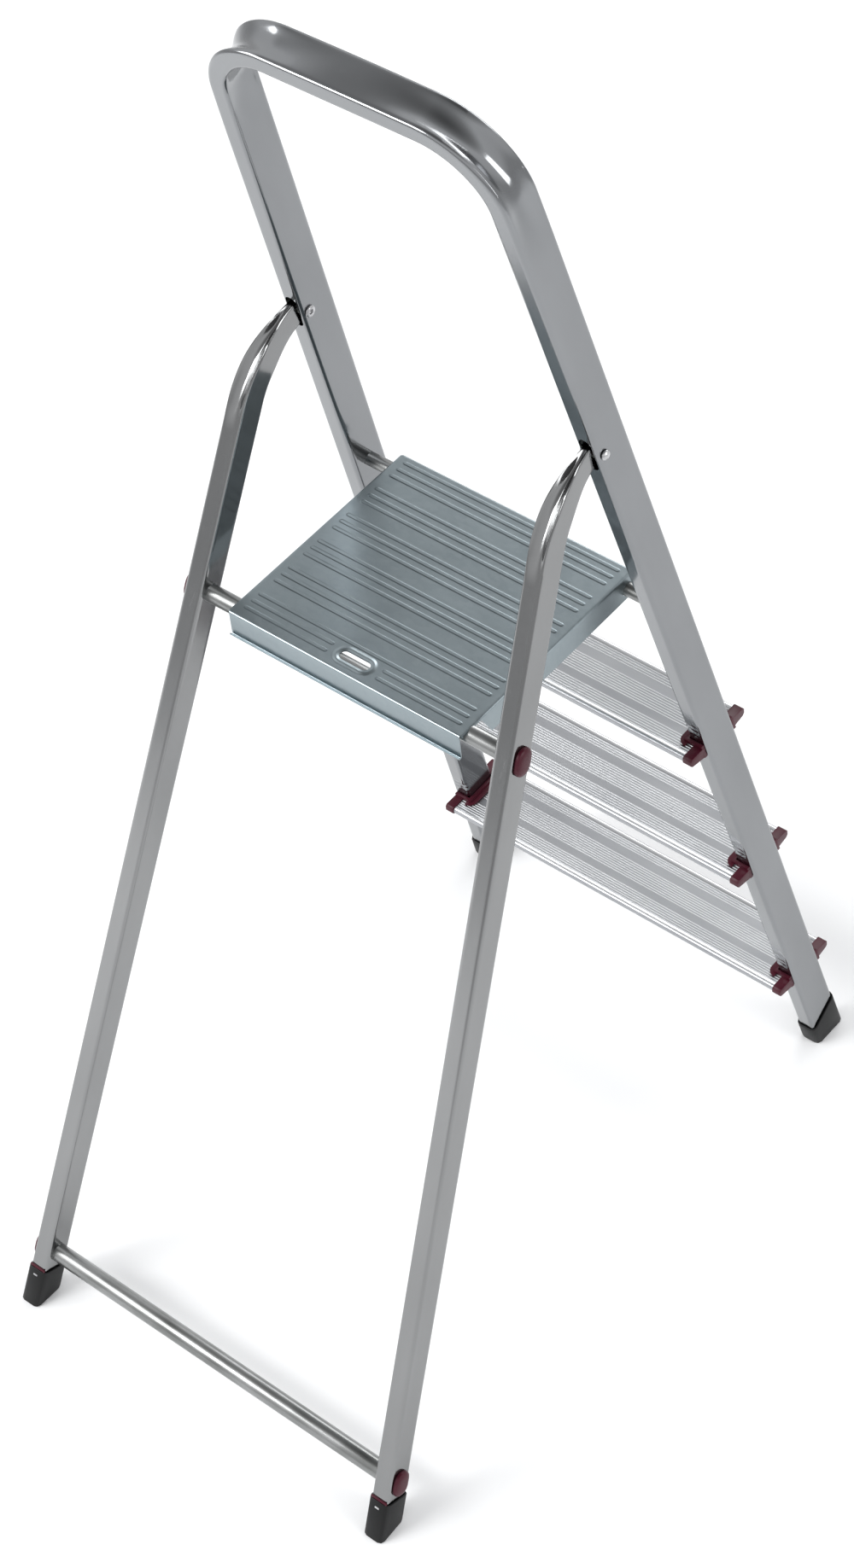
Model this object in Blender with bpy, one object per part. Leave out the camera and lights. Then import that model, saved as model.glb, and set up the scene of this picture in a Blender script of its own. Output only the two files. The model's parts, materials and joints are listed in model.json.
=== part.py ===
"""Aluminium step ladder: one bent tube makes both stiles and the high hoop, with three
extruded treads, a sheet-steel platform on a cross tube, and a folding rear frame.

Metres, +Z up. The climbing side faces -Y and the rear legs stand at +Y. The origin is the
bottom centre of the open ladder. Right and left are those of a person climbing it: right is +X.
"""

import math

import bmesh
import bpy
from mathutils import Vector

# ---- overall layout, ladder open -------------------------------------------------------
FRONT_LEAN = math.radians(13.2)      # stiles lean back from vertical
REAR_LEAN = math.radians(23.9)       # rear legs lean the other way
FLARE = math.radians(3.4)            # stiles and legs spread towards the floor
PIVOT_HEIGHT = 1.019
PIVOT_HALF_SPAN = 0.165              # to the middle of a stile at the pivot
HOOP_REACH = 0.381                   # pivot to the outside of the hoop, along the lean
HOOP_BEND = 0.070                    # radius of the hoop's corners, middle of the tube
PLATFORM_HEIGHT = 0.795
STEP_RISE = 0.2195
TREADS = 3
FIT = 0.0003                         # gap between pieces that touch
FOLD_REST = math.radians(0.7)        # the rear frame stops this far short of parallel

# ---- tube stock ------------------------------------------------------------------------
STILE_WIDTH = 0.020
STILE_DEPTH = 0.040
STILE_WALL = 0.0015
STILE_CORNER = 0.0035
LEG_WIDTH = 0.020
LEG_DEPTH = 0.030
LEG_WALL = 0.0012
LEG_CORNER = 0.003
PLATFORM_TUBE_RADIUS = 0.007
UPPER_TUBE_RADIUS = 0.009
LOWER_TUBE_RADIUS = 0.010
ROUND_TUBE_WALL = 0.0012

# ---- pivot: flattened leg end, riveted inside a slot in the stile ------------------------
PIVOT_SETBACK = 0.0118               # pivot behind the stile's centre line
LEG_OFFSET = 0.050                   # straight part of a leg behind the pivot, square to it
LEG_BEND_REACH = 0.083               # length of leg over which its top curves forward
SQUASH_START = 0.05                  # share of that curve where the tube begins to flatten
SQUASH_SPAN = 0.70                   # and the share over which it does
TONGUE_WIDTH = 0.008
TONGUE_DEPTH = 0.026
SLOT_ABOVE = 0.0189
SLOT_BELOW = 0.0219
SLOT_WIDTH = 0.013
RIVET_RADIUS = 0.004
RIVET_HEAD_RADIUS = 0.0068
RIVET_HEAD_HEIGHT = 0.0035
RIVET_FLARE_HEIGHT = 0.0022
RIVET_ROLL = 1.5                     # radius of the rolled end over that of the shank
RIVET_BORE = 0.0024
WASHER_RADIUS = 0.0062
WASHER_THICKNESS = 0.0030

# ---- platform --------------------------------------------------------------------------
PLATFORM_WIDTH = 0.274
PLATFORM_FRONT = 0.0099              # sheet in front of its pivot tube's axis
PLATFORM_REAR = 0.0152               # sheet behind the upper tube's axis
PLATFORM_SHEET = 0.0010
PLATFORM_FLANGE = 0.0275
PLATFORM_CORNER = 0.004
PLATFORM_LIP = 0.0035                # hem turned out along the foot of the rear flange
PLATFORM_HEM = 0.0018                # thickness of that hem
PIVOT_TUBE_DROP = 0.0175             # platform top to the axis of its pivot tube
NOTCH_AHEAD = 0.0045                 # side flange clear of the upper tube, at its top
NOTCH_SLOPE = 0.013                  # and this much further forward at its lower edge
GRIP_LENGTH = 0.034
GRIP_WIDTH = 0.011
GRIP_INSET = 0.0187                  # rear edge of the sheet to the middle of the grip slot

# ---- treads and their brackets ------------------------------------------------------------
TREAD_DEPTH = 0.083
TREAD_NOSE = 0.009                   # height of the rounded front and rear edges
TREAD_NOSE_RADIUS = 0.004
TREAD_HEIGHT = 0.024
TREAD_SKIN = 0.0025
TREAD_BOX = 0.048                    # depth of the box under the deck
TREAD_PAST = 0.0065                  # its noses run this far past the stiles' inner faces
TENON_DEPTH = 0.026
TENON_TOP = 0.0045                   # below the top of the deck
TENON_HEIGHT = 0.017
TENON_GRIP = 0.004                   # how far a tenon reaches into the stile
BRACKET_COLLAR = 0.0040              # wall round the stile
BRACKET_COLLAR_RISE = 0.0050         # above the deck, against the stile
BRACKET_LOBE = 0.0095                # radius of the pads on the deck, at the stile's corners
BRACKET_RISE = 0.0022                # height of those pads
BRACKET_WRAP = 0.0012                # end caps beyond the tread's noses
BRACKET_CHAMFER = 0.0022
BRACKET_DROP = 0.0130
BRACKET_SHORT = 0.0030               # end caps stop this far inside the stile's outer face

# ---- rear cross tubes, caps and feet --------------------------------------------------------
LOWER_TUBE_HEIGHT = 0.055
CAP_LENGTH = 0.029
CAP_WIDTH = 0.021
CAP_HEIGHT = 0.0055
CAP_EDGE = 0.0022                    # height of its upright edge, below the dome
CAP_CROWN = 0.0075                   # width of the domed border
CAP_STEM = 0.012
FOOT_WALL = 0.0022
FOOT_SOLE = 0.008
FRONT_RIM_SLOPE = math.radians(34)   # the front feet's rims are cut steeper than square
FRONT_RIM_HEIGHT = 0.040             # at the middle of the stile
REAR_RIM_HEIGHT = 0.036

# ---- places worked out from the sizes above ---------------------------------------------------
STILE_DROP = PIVOT_SETBACK / math.cos(FRONT_LEAN)
FRONT_TOE = PIVOT_HEIGHT * math.tan(FRONT_LEAN) + STILE_DROP
FRONT_TOE += (STILE_DEPTH / 2 + FOOT_WALL) / math.cos(FRONT_LEAN)
REAR_HEEL = PIVOT_HEIGHT * math.tan(REAR_LEAN) + LEG_OFFSET / math.cos(REAR_LEAN)
REAR_HEEL += (LEG_DEPTH / 2 + FOOT_WALL) / math.cos(REAR_LEAN)
PIVOT = Vector((0.0, (FRONT_TOE - REAR_HEEL) / 2, PIVOT_HEIGHT))

STILE_UP = Vector((0.0, math.sin(FRONT_LEAN), math.cos(FRONT_LEAN)))
STILE_BACK = Vector((0.0, math.cos(FRONT_LEAN), -math.sin(FRONT_LEAN)))
LEG_DOWN = Vector((0.0, math.sin(REAR_LEAN), -math.cos(REAR_LEAN)))
LEG_BACK = Vector((0.0, math.cos(REAR_LEAN), math.sin(REAR_LEAN)))

SEGMENTS = 24


def stile_y(height):
    """Y of the stiles' centre line at a height above the floor."""
    return PIVOT.y - STILE_DROP + (height - PIVOT.z) * math.tan(FRONT_LEAN)


def stile_half_span(height):
    """X of the middle of a stile at a height above the floor."""
    below = (PIVOT.z - height) / math.cos(FRONT_LEAN)
    return PIVOT_HALF_SPAN + below * math.tan(FLARE)


def leg_y(height):
    """Y of a rear leg's centre line at a height, on its straight part."""
    behind = LEG_OFFSET / math.cos(REAR_LEAN)
    return PIVOT.y + behind + (PIVOT.z - height) * math.tan(REAR_LEAN)


def leg_half_span(along):
    """X of the middle of a leg, this far from the pivot along it."""
    return PIVOT_HALF_SPAN + max(along, 0.0) * math.tan(FLARE)


PIVOT_TUBE_HEIGHT = PLATFORM_HEIGHT - PIVOT_TUBE_DROP
PLATFORM_AXIS = Vector((0.0, stile_y(PIVOT_TUBE_HEIGHT), PIVOT_TUBE_HEIGHT))
UPPER_TUBE_HEIGHT = PLATFORM_HEIGHT - PLATFORM_SHEET - FIT - UPPER_TUBE_RADIUS
UPPER_TUBE_Y = leg_y(UPPER_TUBE_HEIGHT)
FOLD_ANGLE = FRONT_LEAN + REAR_LEAN - FOLD_REST


# ---- materials and small mesh helpers --------------------------------------------------------
def make_material(name, colour, roughness, metallic):
    material = bpy.data.materials.new(name)
    material.use_nodes = True
    shader = material.node_tree.nodes["Principled BSDF"]
    shader.inputs["Base Color"].default_value = (*colour, 1.0)
    shader.inputs["Roughness"].default_value = roughness
    shader.inputs["Metallic"].default_value = metallic
    material.diffuse_color = (*colour, 1.0)
    return material


def finish(name, bm, material, pivot=None):
    """Close a bmesh into a named object; with a pivot, it hangs from that empty."""
    bmesh.ops.recalc_face_normals(bm, faces=bm.faces)
    if pivot is not None:
        bmesh.ops.translate(bm, verts=bm.verts, vec=-pivot.location)
    mesh = bpy.data.meshes.new(name)
    bm.to_mesh(mesh)
    bm.free()
    item = bpy.data.objects.new(name, mesh)
    bpy.context.scene.collection.objects.link(item)
    if material is not None:
        mesh.materials.append(material)
    if pivot is not None:
        item.parent = pivot
    mesh.shade_smooth()
    mesh.set_sharp_from_angle(angle=math.radians(30))
    return item


def cutter(name, bm):
    item = finish(name, bm, None)
    item.hide_render = True
    item.display_type = "WIRE"
    return item


def cut(item, tool, operation="DIFFERENCE"):
    modifier = item.modifiers.new(operation.lower(), "BOOLEAN")
    modifier.operation = operation
    modifier.solver = "EXACT"
    modifier.object = tool


def joint_empty(name, place):
    empty = bpy.data.objects.new(name, None)
    empty.location = place
    bpy.context.scene.collection.objects.link(empty)
    return empty


def rounded_rectangle(width, depth, radius, steps=3):
    """Outline as (across, back) pairs, anticlockwise."""
    points = []
    for turn, (a, b) in enumerate(((1, 1), (-1, 1), (-1, -1), (1, -1))):
        for step in range(steps):
            angle = math.pi / 2 * (turn + step / (steps - 1))
            across = a * (width / 2 - radius) + radius * math.cos(angle)
            back = b * (depth / 2 - radius) + radius * math.sin(angle)
            points.append((across, back))
    return points


def add_skin(bm, rings, capped=True):
    """Quads between rings of points; capped with one face at each end."""
    rows = [[bm.verts.new(point) for point in ring] for ring in rings]
    for first, second in zip(rows, rows[1:]):
        for index in range(len(first)):
            after = (index + 1) % len(first)
            bm.faces.new((first[index], first[after], second[after], second[index]))
    if capped:
        bm.faces.new(rows[0])
        bm.faces.new(rows[-1])
    return rows


def add_pipe(bm, outer, inner):
    """A hollow length: outer and inner skins joined by a ring at each open end."""
    outside = add_skin(bm, outer, capped=False)
    inside = add_skin(bm, inner, capped=False)
    for first, second in ((outside[0], inside[0]), (outside[-1], inside[-1])):
        for index in range(len(first)):
            after = (index + 1) % len(first)
            bm.faces.new((first[index], first[after], second[after], second[index]))


def circle_x(centre, radius, segments=SEGMENTS):
    """A ring of points in a plane square to X."""
    ring = []
    for step in range(segments):
        angle = 2 * math.pi * step / segments
        ring.append(centre + Vector((0.0, radius * math.cos(angle), radius * math.sin(angle))))
    return ring


def add_rod(bm, start, end, radius):
    """A solid round bar along X."""
    add_skin(bm, [circle_x(start, radius), circle_x(end, radius)])


def add_box(bm, low, high):
    corners = ((low[0], low[1]), (high[0], low[1]), (high[0], high[1]), (low[0], high[1]))
    add_skin(bm, [[Vector((x, y, z)) for x, y in corners] for z in (low[2], high[2])])


def add_x_prism(bm, outline, start, end):
    """An outline of (y, z) points drawn out along X."""
    add_skin(bm, [[Vector((x, y, z)) for y, z in outline] for x in (start, end)])


def onto_plane(point, direction, plane_point, normal):
    """Where a line through a point meets a plane."""
    return point + direction * ((plane_point - point).dot(normal) / direction.dot(normal))


# ---- front frame -----------------------------------------------------------------------------
def stile_axis(side):
    """Unit vector up a stile, flare included, and the one across it, outwards."""
    up = STILE_UP * math.cos(FLARE) + Vector((-side * math.sin(FLARE), 0.0, 0.0))
    out = STILE_UP * math.sin(FLARE) + Vector((side * math.cos(FLARE), 0.0, 0.0))
    return up, out


def stile_point(side, along):
    """Centre of a stile, this far above the pivot along the lean."""
    across = side * (PIVOT_HALF_SPAN - along * math.tan(FLARE))
    return PIVOT - STILE_BACK * PIVOT_SETBACK + STILE_UP * along + Vector((across, 0.0, 0.0))


def stile_foot_along():
    """Where the stile tube ends inside its foot."""
    lowest = (PIVOT.z - FOOT_SOLE) / math.cos(FRONT_LEAN)
    return -lowest + STILE_DEPTH / 2 * math.tan(FRONT_LEAN)


def frame_path(steps=9):
    """Centre line of the bent tube, with the outward direction at each point."""
    top = HOOP_REACH - STILE_WIDTH / 2
    bend_centre = top - HOOP_BEND
    up, out = stile_axis(1)
    # the bend's centre lies a bend radius inside the stile's line
    across = PIVOT_HALF_SPAN - bend_centre * math.tan(FLARE) - HOOP_BEND / math.cos(FLARE)
    half = [(stile_point(1, stile_foot_along()), out)]
    middle = PIVOT - STILE_BACK * PIVOT_SETBACK + STILE_UP * bend_centre
    for step in range(steps + 1):
        angle = FLARE + (math.pi / 2 - FLARE) * step / steps
        outward = Vector((math.cos(angle), 0.0, 0.0)) + STILE_UP * math.sin(angle)
        half.append((middle + Vector((across, 0.0, 0.0)) + outward * HOOP_BEND, outward))
    mirror = [(Vector((-p.x, p.y, p.z)), Vector((-n.x, n.y, n.z))) for p, n in reversed(half)]
    return half + mirror


def make_front_frame(material):
    outline = rounded_rectangle(STILE_WIDTH, STILE_DEPTH, STILE_CORNER)
    bore = rounded_rectangle(
        STILE_WIDTH - 2 * STILE_WALL, STILE_DEPTH - 2 * STILE_WALL, STILE_CORNER - STILE_WALL
    )
    path = frame_path()
    outer = [[p + n * a + STILE_BACK * b for a, b in outline] for p, n in path]
    inner = [[p + n * a + STILE_BACK * b for a, b in bore] for p, n in path]
    bm = bmesh.new()
    add_pipe(bm, outer, inner)
    frame = finish("front_frame", bm, material)
    cut(frame, make_frame_cuts())
    return frame


def add_slot(bm, side):
    """Obround slot through a stile's rear wall, for the leg's flattened end."""
    up, out = stile_axis(side)
    radius = SLOT_WIDTH / 2
    ends = (stile_point(side, SLOT_ABOVE - radius), stile_point(side, radius - SLOT_BELOW))
    ring = []
    for turn, end in enumerate(ends):
        for step in range(9):
            angle = math.pi * (turn + step / 8)
            ring.append(end + out * radius * math.cos(angle) + up * radius * math.sin(angle))
    inside = STILE_BACK * (STILE_DEPTH / 2 - 2 * STILE_WALL)
    outside = STILE_BACK * (STILE_DEPTH / 2 + STILE_WALL)
    add_skin(bm, [[p + inside for p in ring], [p + outside for p in ring]])


def make_frame_cuts():
    """Slots, rivet holes, cross-tube holes and the windows for the treads' tenons."""
    bm = bmesh.new()
    for side in (1, -1):
        add_slot(bm, side)
        centre = Vector((side * PIVOT_HALF_SPAN, PIVOT.y, PIVOT.z))
        reach = Vector((STILE_WIDTH, 0.0, 0.0))
        hole = RIVET_RADIUS + FIT
        add_rod(bm, centre - reach, centre + reach, hole)
        centre = Vector((side * stile_half_span(PLATFORM_AXIS.z), PLATFORM_AXIS.y, PLATFORM_AXIS.z))
        add_rod(bm, centre - side * reach, centre, PLATFORM_TUBE_RADIUS + FIT)
        for number in range(1, TREADS + 1):
            add_tenon_window(bm, side, tread_height(number))
    return cutter("front_frame_cuts", bm)


def tread_height(number):
    return PLATFORM_HEIGHT - number * STEP_RISE


def add_tenon_window(bm, side, height):
    half = stile_half_span(height - TREAD_HEIGHT / 2)
    middle = stile_y(height)
    low = (half - STILE_WIDTH, middle - TENON_DEPTH / 2 - FIT, height - TENON_TOP - TENON_HEIGHT - FIT)
    high = (half, middle + TENON_DEPTH / 2 + FIT, height - TENON_TOP + FIT)
    if side > 0:
        add_box(bm, low, high)
    else:
        add_box(bm, (-high[0], low[1], low[2]), (-low[0], high[1], high[2]))


# ---- treads ----------------------------------------------------------------------------------
def tread_outline():
    """Section of the extrusion as (y, z) from the middle of its top."""
    edge = TREAD_DEPTH / 2
    box = TREAD_BOX / 2
    half = [(box, -TREAD_HEIGHT), (box, -TREAD_NOSE)]
    for middle, turn in ((TREAD_NOSE_RADIUS - TREAD_NOSE, -1), (-TREAD_NOSE_RADIUS, 0)):
        for step in range(5):
            angle = math.pi / 2 * (turn + step / 4)
            across = edge - TREAD_NOSE_RADIUS * (1 - math.cos(angle))
            half.append((across, middle + TREAD_NOSE_RADIUS * math.sin(angle)))
    return half + [(-y, z) for y, z in reversed(half)]


def tread_channels():
    """Hollow channels along the extrusion, as (y, y, lower z, upper z) from the middle of its top."""
    skin = TREAD_SKIN
    core = TENON_DEPTH / 2
    box = TREAD_BOX / 2
    deep = -TREAD_HEIGHT + skin
    middle = (skin - core, core - skin, skin - TENON_TOP - TENON_HEIGHT, -TENON_TOP - skin)
    beside = (core + skin / 2, box - skin, deep, -skin)
    nose = (box + skin, TREAD_DEPTH / 2 - skin, -TREAD_NOSE + skin, -skin)
    mirrored = [(-far, -near, low, high) for near, far, low, high in (beside, nose)]
    return [middle, beside, nose] + mirrored


def tread_half_length(height):
    """The deck's noses end inside the brackets' end caps."""
    return stile_half_span(height) - STILE_WIDTH / 2 + TREAD_PAST


def tenon_half_length(height):
    low_span = stile_half_span(height - TREAD_HEIGHT) - STILE_WIDTH / 2
    return low_span + STILE_WALL + TENON_GRIP


def placed(outline, height):
    return [(y + stile_y(height), z + height) for y, z in outline]


def make_tread(number, material):
    height = tread_height(number)
    half = tread_half_length(height)
    tenon = tenon_half_length(height)
    middle = stile_y(height)
    name = f"tread_{number}"
    bm = bmesh.new()
    add_x_prism(bm, placed(tread_outline(), height), -half, half)
    tread = finish(name, bm, material)
    bm = bmesh.new()
    for side in (1, -1):
        notch = (BRACKET_COLLAR + FIT, STILE_WIDTH)
        add_stile_collar(bm, side, notch, height - 2 * TREAD_HEIGHT, height + TREAD_HEIGHT)
    cut(tread, cutter(f"{name}_notches", bm))
    bm = bmesh.new()
    low = (-tenon, middle - TENON_DEPTH / 2, height - TENON_TOP - TENON_HEIGHT)
    add_box(bm, low, (tenon, middle + TENON_DEPTH / 2, height - TENON_TOP))
    cut(tread, cutter(f"{name}_tenons", bm), "UNION")
    bm = bmesh.new()
    for near, far, low, high in tread_channels():
        reach = tenon + TREAD_SKIN
        add_box(bm, (-reach, middle + near, height + low), (reach, middle + far, height + high))
    cut(tread, cutter(f"{name}_channels", bm))
    return tread


def add_stile_collar(bm, side, grow, low, high):
    """A stretch of stile between two levels, grown by (inwards, front and back) and (outwards)."""
    up, out = stile_axis(side)
    inward, outward = grow
    near = -STILE_WIDTH / 2 - inward
    far = STILE_WIDTH / 2 + outward
    back = STILE_DEPTH / 2 + inward
    centre = stile_point(side, (low - PIVOT.z) / math.cos(FRONT_LEAN))
    corners = ((near, -back), (far, -back), (far, back), (near, back))
    lines = [centre + out * a + STILE_BACK * b for a, b in corners]
    level = Vector((0.0, 0.0, 1.0))
    rings = [[onto_plane(p, up, level * z, level) for p in lines] for z in (low, high)]
    add_skin(bm, rings)


def bracket_outline():
    """Section of a bracket's end caps as (y, z): round the tread's noses and up towards the stile."""
    edge = TREAD_DEPTH / 2 + BRACKET_WRAP
    turn = TREAD_NOSE - BRACKET_CHAMFER
    half = [
        (STILE_DEPTH / 2, -BRACKET_DROP),
        (edge - BRACKET_CHAMFER, -TREAD_NOSE),
        (edge, -turn),
        (edge, BRACKET_WRAP - BRACKET_CHAMFER),
        (edge - BRACKET_CHAMFER, BRACKET_WRAP),
    ]
    return half + [(-y, z) for y, z in reversed(half)]


def make_bracket(number, side, material):
    """Moulded end piece: a collar round the stile, pads on the deck at the stile's inner corners,
    and an end cap over each of the tread's noses."""
    height = tread_height(number)
    middle = stile_y(height)
    name = f"tread_{number}_bracket_{'right' if side > 0 else 'left'}"
    start = tread_half_length(height) + FIT
    end = stile_half_span(height) + STILE_WIDTH / 2 - BRACKET_SHORT
    bm = bmesh.new()
    add_x_prism(bm, placed(bracket_outline(), height), side * start, side * end)
    bracket = finish(name, bm, material)
    bm = bmesh.new()
    bottom = height - BRACKET_DROP
    add_stile_collar(bm, side, (BRACKET_COLLAR, -BRACKET_SHORT), bottom, height + BRACKET_COLLAR_RISE)
    cut(bracket, cutter(f"{name}_collar", bm), "UNION")
    bm = bmesh.new()
    add_pads(bm, side, height)
    cut(bracket, cutter(f"{name}_pads", bm), "UNION")
    bm = bmesh.new()
    add_stile_collar(bm, side, (FIT, STILE_WIDTH), height - 2 * TREAD_HEIGHT, height + TREAD_HEIGHT)
    cut(bracket, cutter(f"{name}_stile", bm))
    bm = bmesh.new()
    low = (0.0, middle - TENON_DEPTH / 2 - FIT, height - TENON_TOP - TENON_HEIGHT - FIT)
    high = (side * end, middle + TENON_DEPTH / 2 + FIT, height - TENON_TOP + FIT)
    add_box(bm, low, high)
    cut(bracket, cutter(f"{name}_tenon", bm))
    return bracket


def add_pads(bm, side, height):
    """One plate on the deck with a round lobe at each inner corner of the stile."""
    inner = stile_half_span(height) - STILE_WIDTH / 2
    middle = stile_y(height)
    reach = STILE_DEPTH / 2 / math.cos(FRONT_LEAN)
    outline = []
    for turn, corner in enumerate((reach, -reach)):
        for step in range(9):
            angle = math.pi / 2 * (turn + step / 8)
            across = inner - BRACKET_LOBE * math.sin(angle)
            outline.append((side * across, middle + corner + BRACKET_LOBE * math.cos(angle)))
    outline.append((side * (inner + FIT), middle - reach))
    outline.append((side * (inner + FIT), middle + reach))
    levels = (height + FIT, height + BRACKET_RISE)
    add_skin(bm, [[Vector((x, y, z)) for x, y in outline] for z in levels])


# ---- rear frame ------------------------------------------------------------------------------
def leg_ring(centre, back, width, depth):
    corner = min(LEG_CORNER, width / 2 - LEG_WALL)
    outline = rounded_rectangle(width, depth, corner)
    return [centre + Vector((a, 0.0, 0.0)) + back * b for a, b in outline]


def leg_bend():
    """Angle and radius of the arc that carries a leg's top forward to the pivot."""
    angle = 2 * math.atan(LEG_OFFSET / LEG_BEND_REACH)
    return angle, LEG_BEND_REACH / math.sin(angle)


def smooth(value):
    value = min(max(value, 0.0), 1.0)
    return value * value * (3 - 2 * value)


def leg_rings(side, steps=12):
    """Sections from the foot up, round the bend and over the rounded end at the pivot."""
    length = (PIVOT.z - FOOT_SOLE) / math.cos(REAR_LEAN) + LEG_OFFSET * math.tan(REAR_LEAN)
    length -= LEG_DEPTH / 2 * math.tan(REAR_LEAN)
    angle, radius = leg_bend()
    rings = []
    for along in (length, LEG_BEND_REACH + LEG_DEPTH):
        centre = leg_centre(side, along, LEG_OFFSET)
        rings.append(leg_ring(centre, LEG_BACK, LEG_WIDTH, LEG_DEPTH))
    for step in range(steps + 1):
        turn = angle * step / steps
        along = LEG_BEND_REACH - radius * math.sin(turn)
        centre = leg_centre(side, along, LEG_OFFSET - radius * (1 - math.cos(turn)))
        back = LEG_BACK * math.cos(turn) - LEG_DOWN * math.sin(turn)
        squash = smooth((step / steps - SQUASH_START) / SQUASH_SPAN)
        width = LEG_WIDTH + (TONGUE_WIDTH - LEG_WIDTH) * squash
        depth = LEG_DEPTH + (TONGUE_DEPTH - LEG_DEPTH) * smooth(step / steps)
        rings.append(leg_ring(centre, back, width, depth))
    forward = -LEG_DOWN * math.cos(angle) - LEG_BACK * math.sin(angle)
    end = TONGUE_DEPTH / 2
    for step in range(1, 6):
        turn = math.pi / 2 * step / 6
        centre = leg_centre(side, 0.0, 0.0) + forward * end * math.sin(turn)
        rings.append(leg_ring(centre, back, TONGUE_WIDTH, TONGUE_DEPTH * math.cos(turn)))
    return rings


def leg_centre(side, along, offset):
    across = Vector((side * leg_half_span(along), 0.0, 0.0))
    return PIVOT + LEG_DOWN * along + LEG_BACK * offset + across


def leg_along(height):
    """Distance from the pivot along a leg to where its centre line is at a height."""
    return (PIVOT.z - height + LEG_OFFSET * math.sin(REAR_LEAN)) / math.cos(REAR_LEAN)


def make_leg(side, material, pivot):
    rings = leg_rings(side)
    bm = bmesh.new()
    add_skin(bm, rings)
    name = f"rear_leg_{'right' if side > 0 else 'left'}"
    leg = finish(name, bm, material, pivot)
    bm = bmesh.new()
    add_leg_bore(bm, side)
    cut(leg, cutter(f"{name}_hollow", bm))
    bm = bmesh.new()
    for height, radius in cross_tubes():
        centre = tube_end(side, height)
        reach = Vector((LEG_WIDTH, 0.0, 0.0))
        add_rod(bm, centre - reach, centre + reach, radius + FIT)
    cut(leg, cutter(f"{name}_bores", bm))
    bm = bmesh.new()
    centre = Vector((side * PIVOT_HALF_SPAN, PIVOT.y, PIVOT.z))
    reach = Vector((TONGUE_WIDTH, 0.0, 0.0))
    add_rod(bm, centre - reach, centre + reach, RIVET_RADIUS + FIT)
    cut(leg, cutter(f"{name}_pivot_hole", bm))
    return leg


def add_leg_bore(bm, side):
    """Hollow of the tube, from its open lower end up to where it is flattened."""
    width = LEG_WIDTH - 2 * LEG_WALL
    depth = LEG_DEPTH - 2 * LEG_WALL
    bottom = leg_along(0.0)
    rings = []
    for along in (bottom, LEG_BEND_REACH):
        centre = leg_centre(side, along, LEG_OFFSET)
        outline = rounded_rectangle(width, depth, LEG_CORNER - LEG_WALL)
        rings.append([centre + Vector((a, 0.0, 0.0)) + LEG_BACK * b for a, b in outline])
    add_skin(bm, rings)


def cross_tubes():
    """Height and radius of the two tubes that join the legs."""
    return ((UPPER_TUBE_HEIGHT, UPPER_TUBE_RADIUS), (LOWER_TUBE_HEIGHT, LOWER_TUBE_RADIUS))


def tube_end(side, height):
    """Where a rear cross tube meets the middle of a leg."""
    return Vector((side * leg_half_span(leg_along(height)), leg_y(height), height))


def make_round_tube(name, half_length, place, radius, material, pivot=None):
    bm = bmesh.new()
    ends = [Vector((x, place.y, place.z)) for x in (-half_length, half_length)]
    outer = [circle_x(end, radius) for end in ends]
    inner = [circle_x(end, radius - ROUND_TUBE_WALL) for end in ends]
    add_pipe(bm, outer, inner)
    return finish(name, bm, material, pivot)


def make_cap(name, side, height, tube_radius, material, pivot):
    """Domed obround cap on a leg's outer face, with a stem pushed into the cross tube."""
    face = tube_end(side, height) + Vector((side * (LEG_WIDTH / 2 + FIT), 0.0, 0.0))
    slant = side * math.tan(FLARE)
    radius = CAP_WIDTH / 2
    straight = CAP_LENGTH / 2 - radius
    rings = []
    dome = [math.pi / 2 * step / 4 for step in range(5)]
    levels = [(CAP_EDGE + (CAP_HEIGHT - CAP_EDGE) * math.sin(a), CAP_CROWN * (1 - math.cos(a))) for a in dome]
    for lift, inset in [(0.0, 0.0)] + levels:
        ring = []
        for turn in (0, 1):
            for step in range(8):
                angle = math.pi * (turn + step / 7)
                back = (radius - inset) * math.cos(angle)
                up = (radius - inset) * math.sin(angle) + (straight if turn == 0 else -straight)
                out = Vector((side * lift - slant * up, 0.0, 0.0))
                ring.append(face + out + LEG_BACK * back - LEG_DOWN * up)
        rings.append(ring)
    bm = bmesh.new()
    add_skin(bm, rings)
    cap = finish(name, bm, material, pivot)
    bm = bmesh.new()
    inside = face - Vector((side * CAP_STEM, 0.0, 0.0))
    outside = face + Vector((side * CAP_HEIGHT / 3, 0.0, 0.0))
    add_rod(bm, inside, outside, tube_radius - ROUND_TUBE_WALL - FIT)
    cut(cap, cutter(f"{name}_stem", bm), "UNION")
    return cap


# ---- pivots ----------------------------------------------------------------------------------
def add_turned(bm, profile, centre, side, segments=20):
    """An (x, radius) outline spun about the X axis through a centre. It is a closed outline,
    unless both its ends lie on the axis."""
    rows = []
    for out, radius in profile:
        place = centre + Vector((side * out, 0.0, 0.0))
        ring = circle_x(place, radius, segments) if radius > 0.0 else [place]
        rows.append([bm.verts.new(point) for point in ring])
    closed = len(rows[0]) > 1
    for first, second in zip(rows, rows[1:] + rows[:1] if closed else rows[1:]):
        for index in range(segments):
            after = (index + 1) % segments
            corners = {row[at % len(row)]: None for row, at in (
                (first, index), (first, after), (second, after), (second, index)
            )}
            bm.faces.new(tuple(corners))


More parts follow.
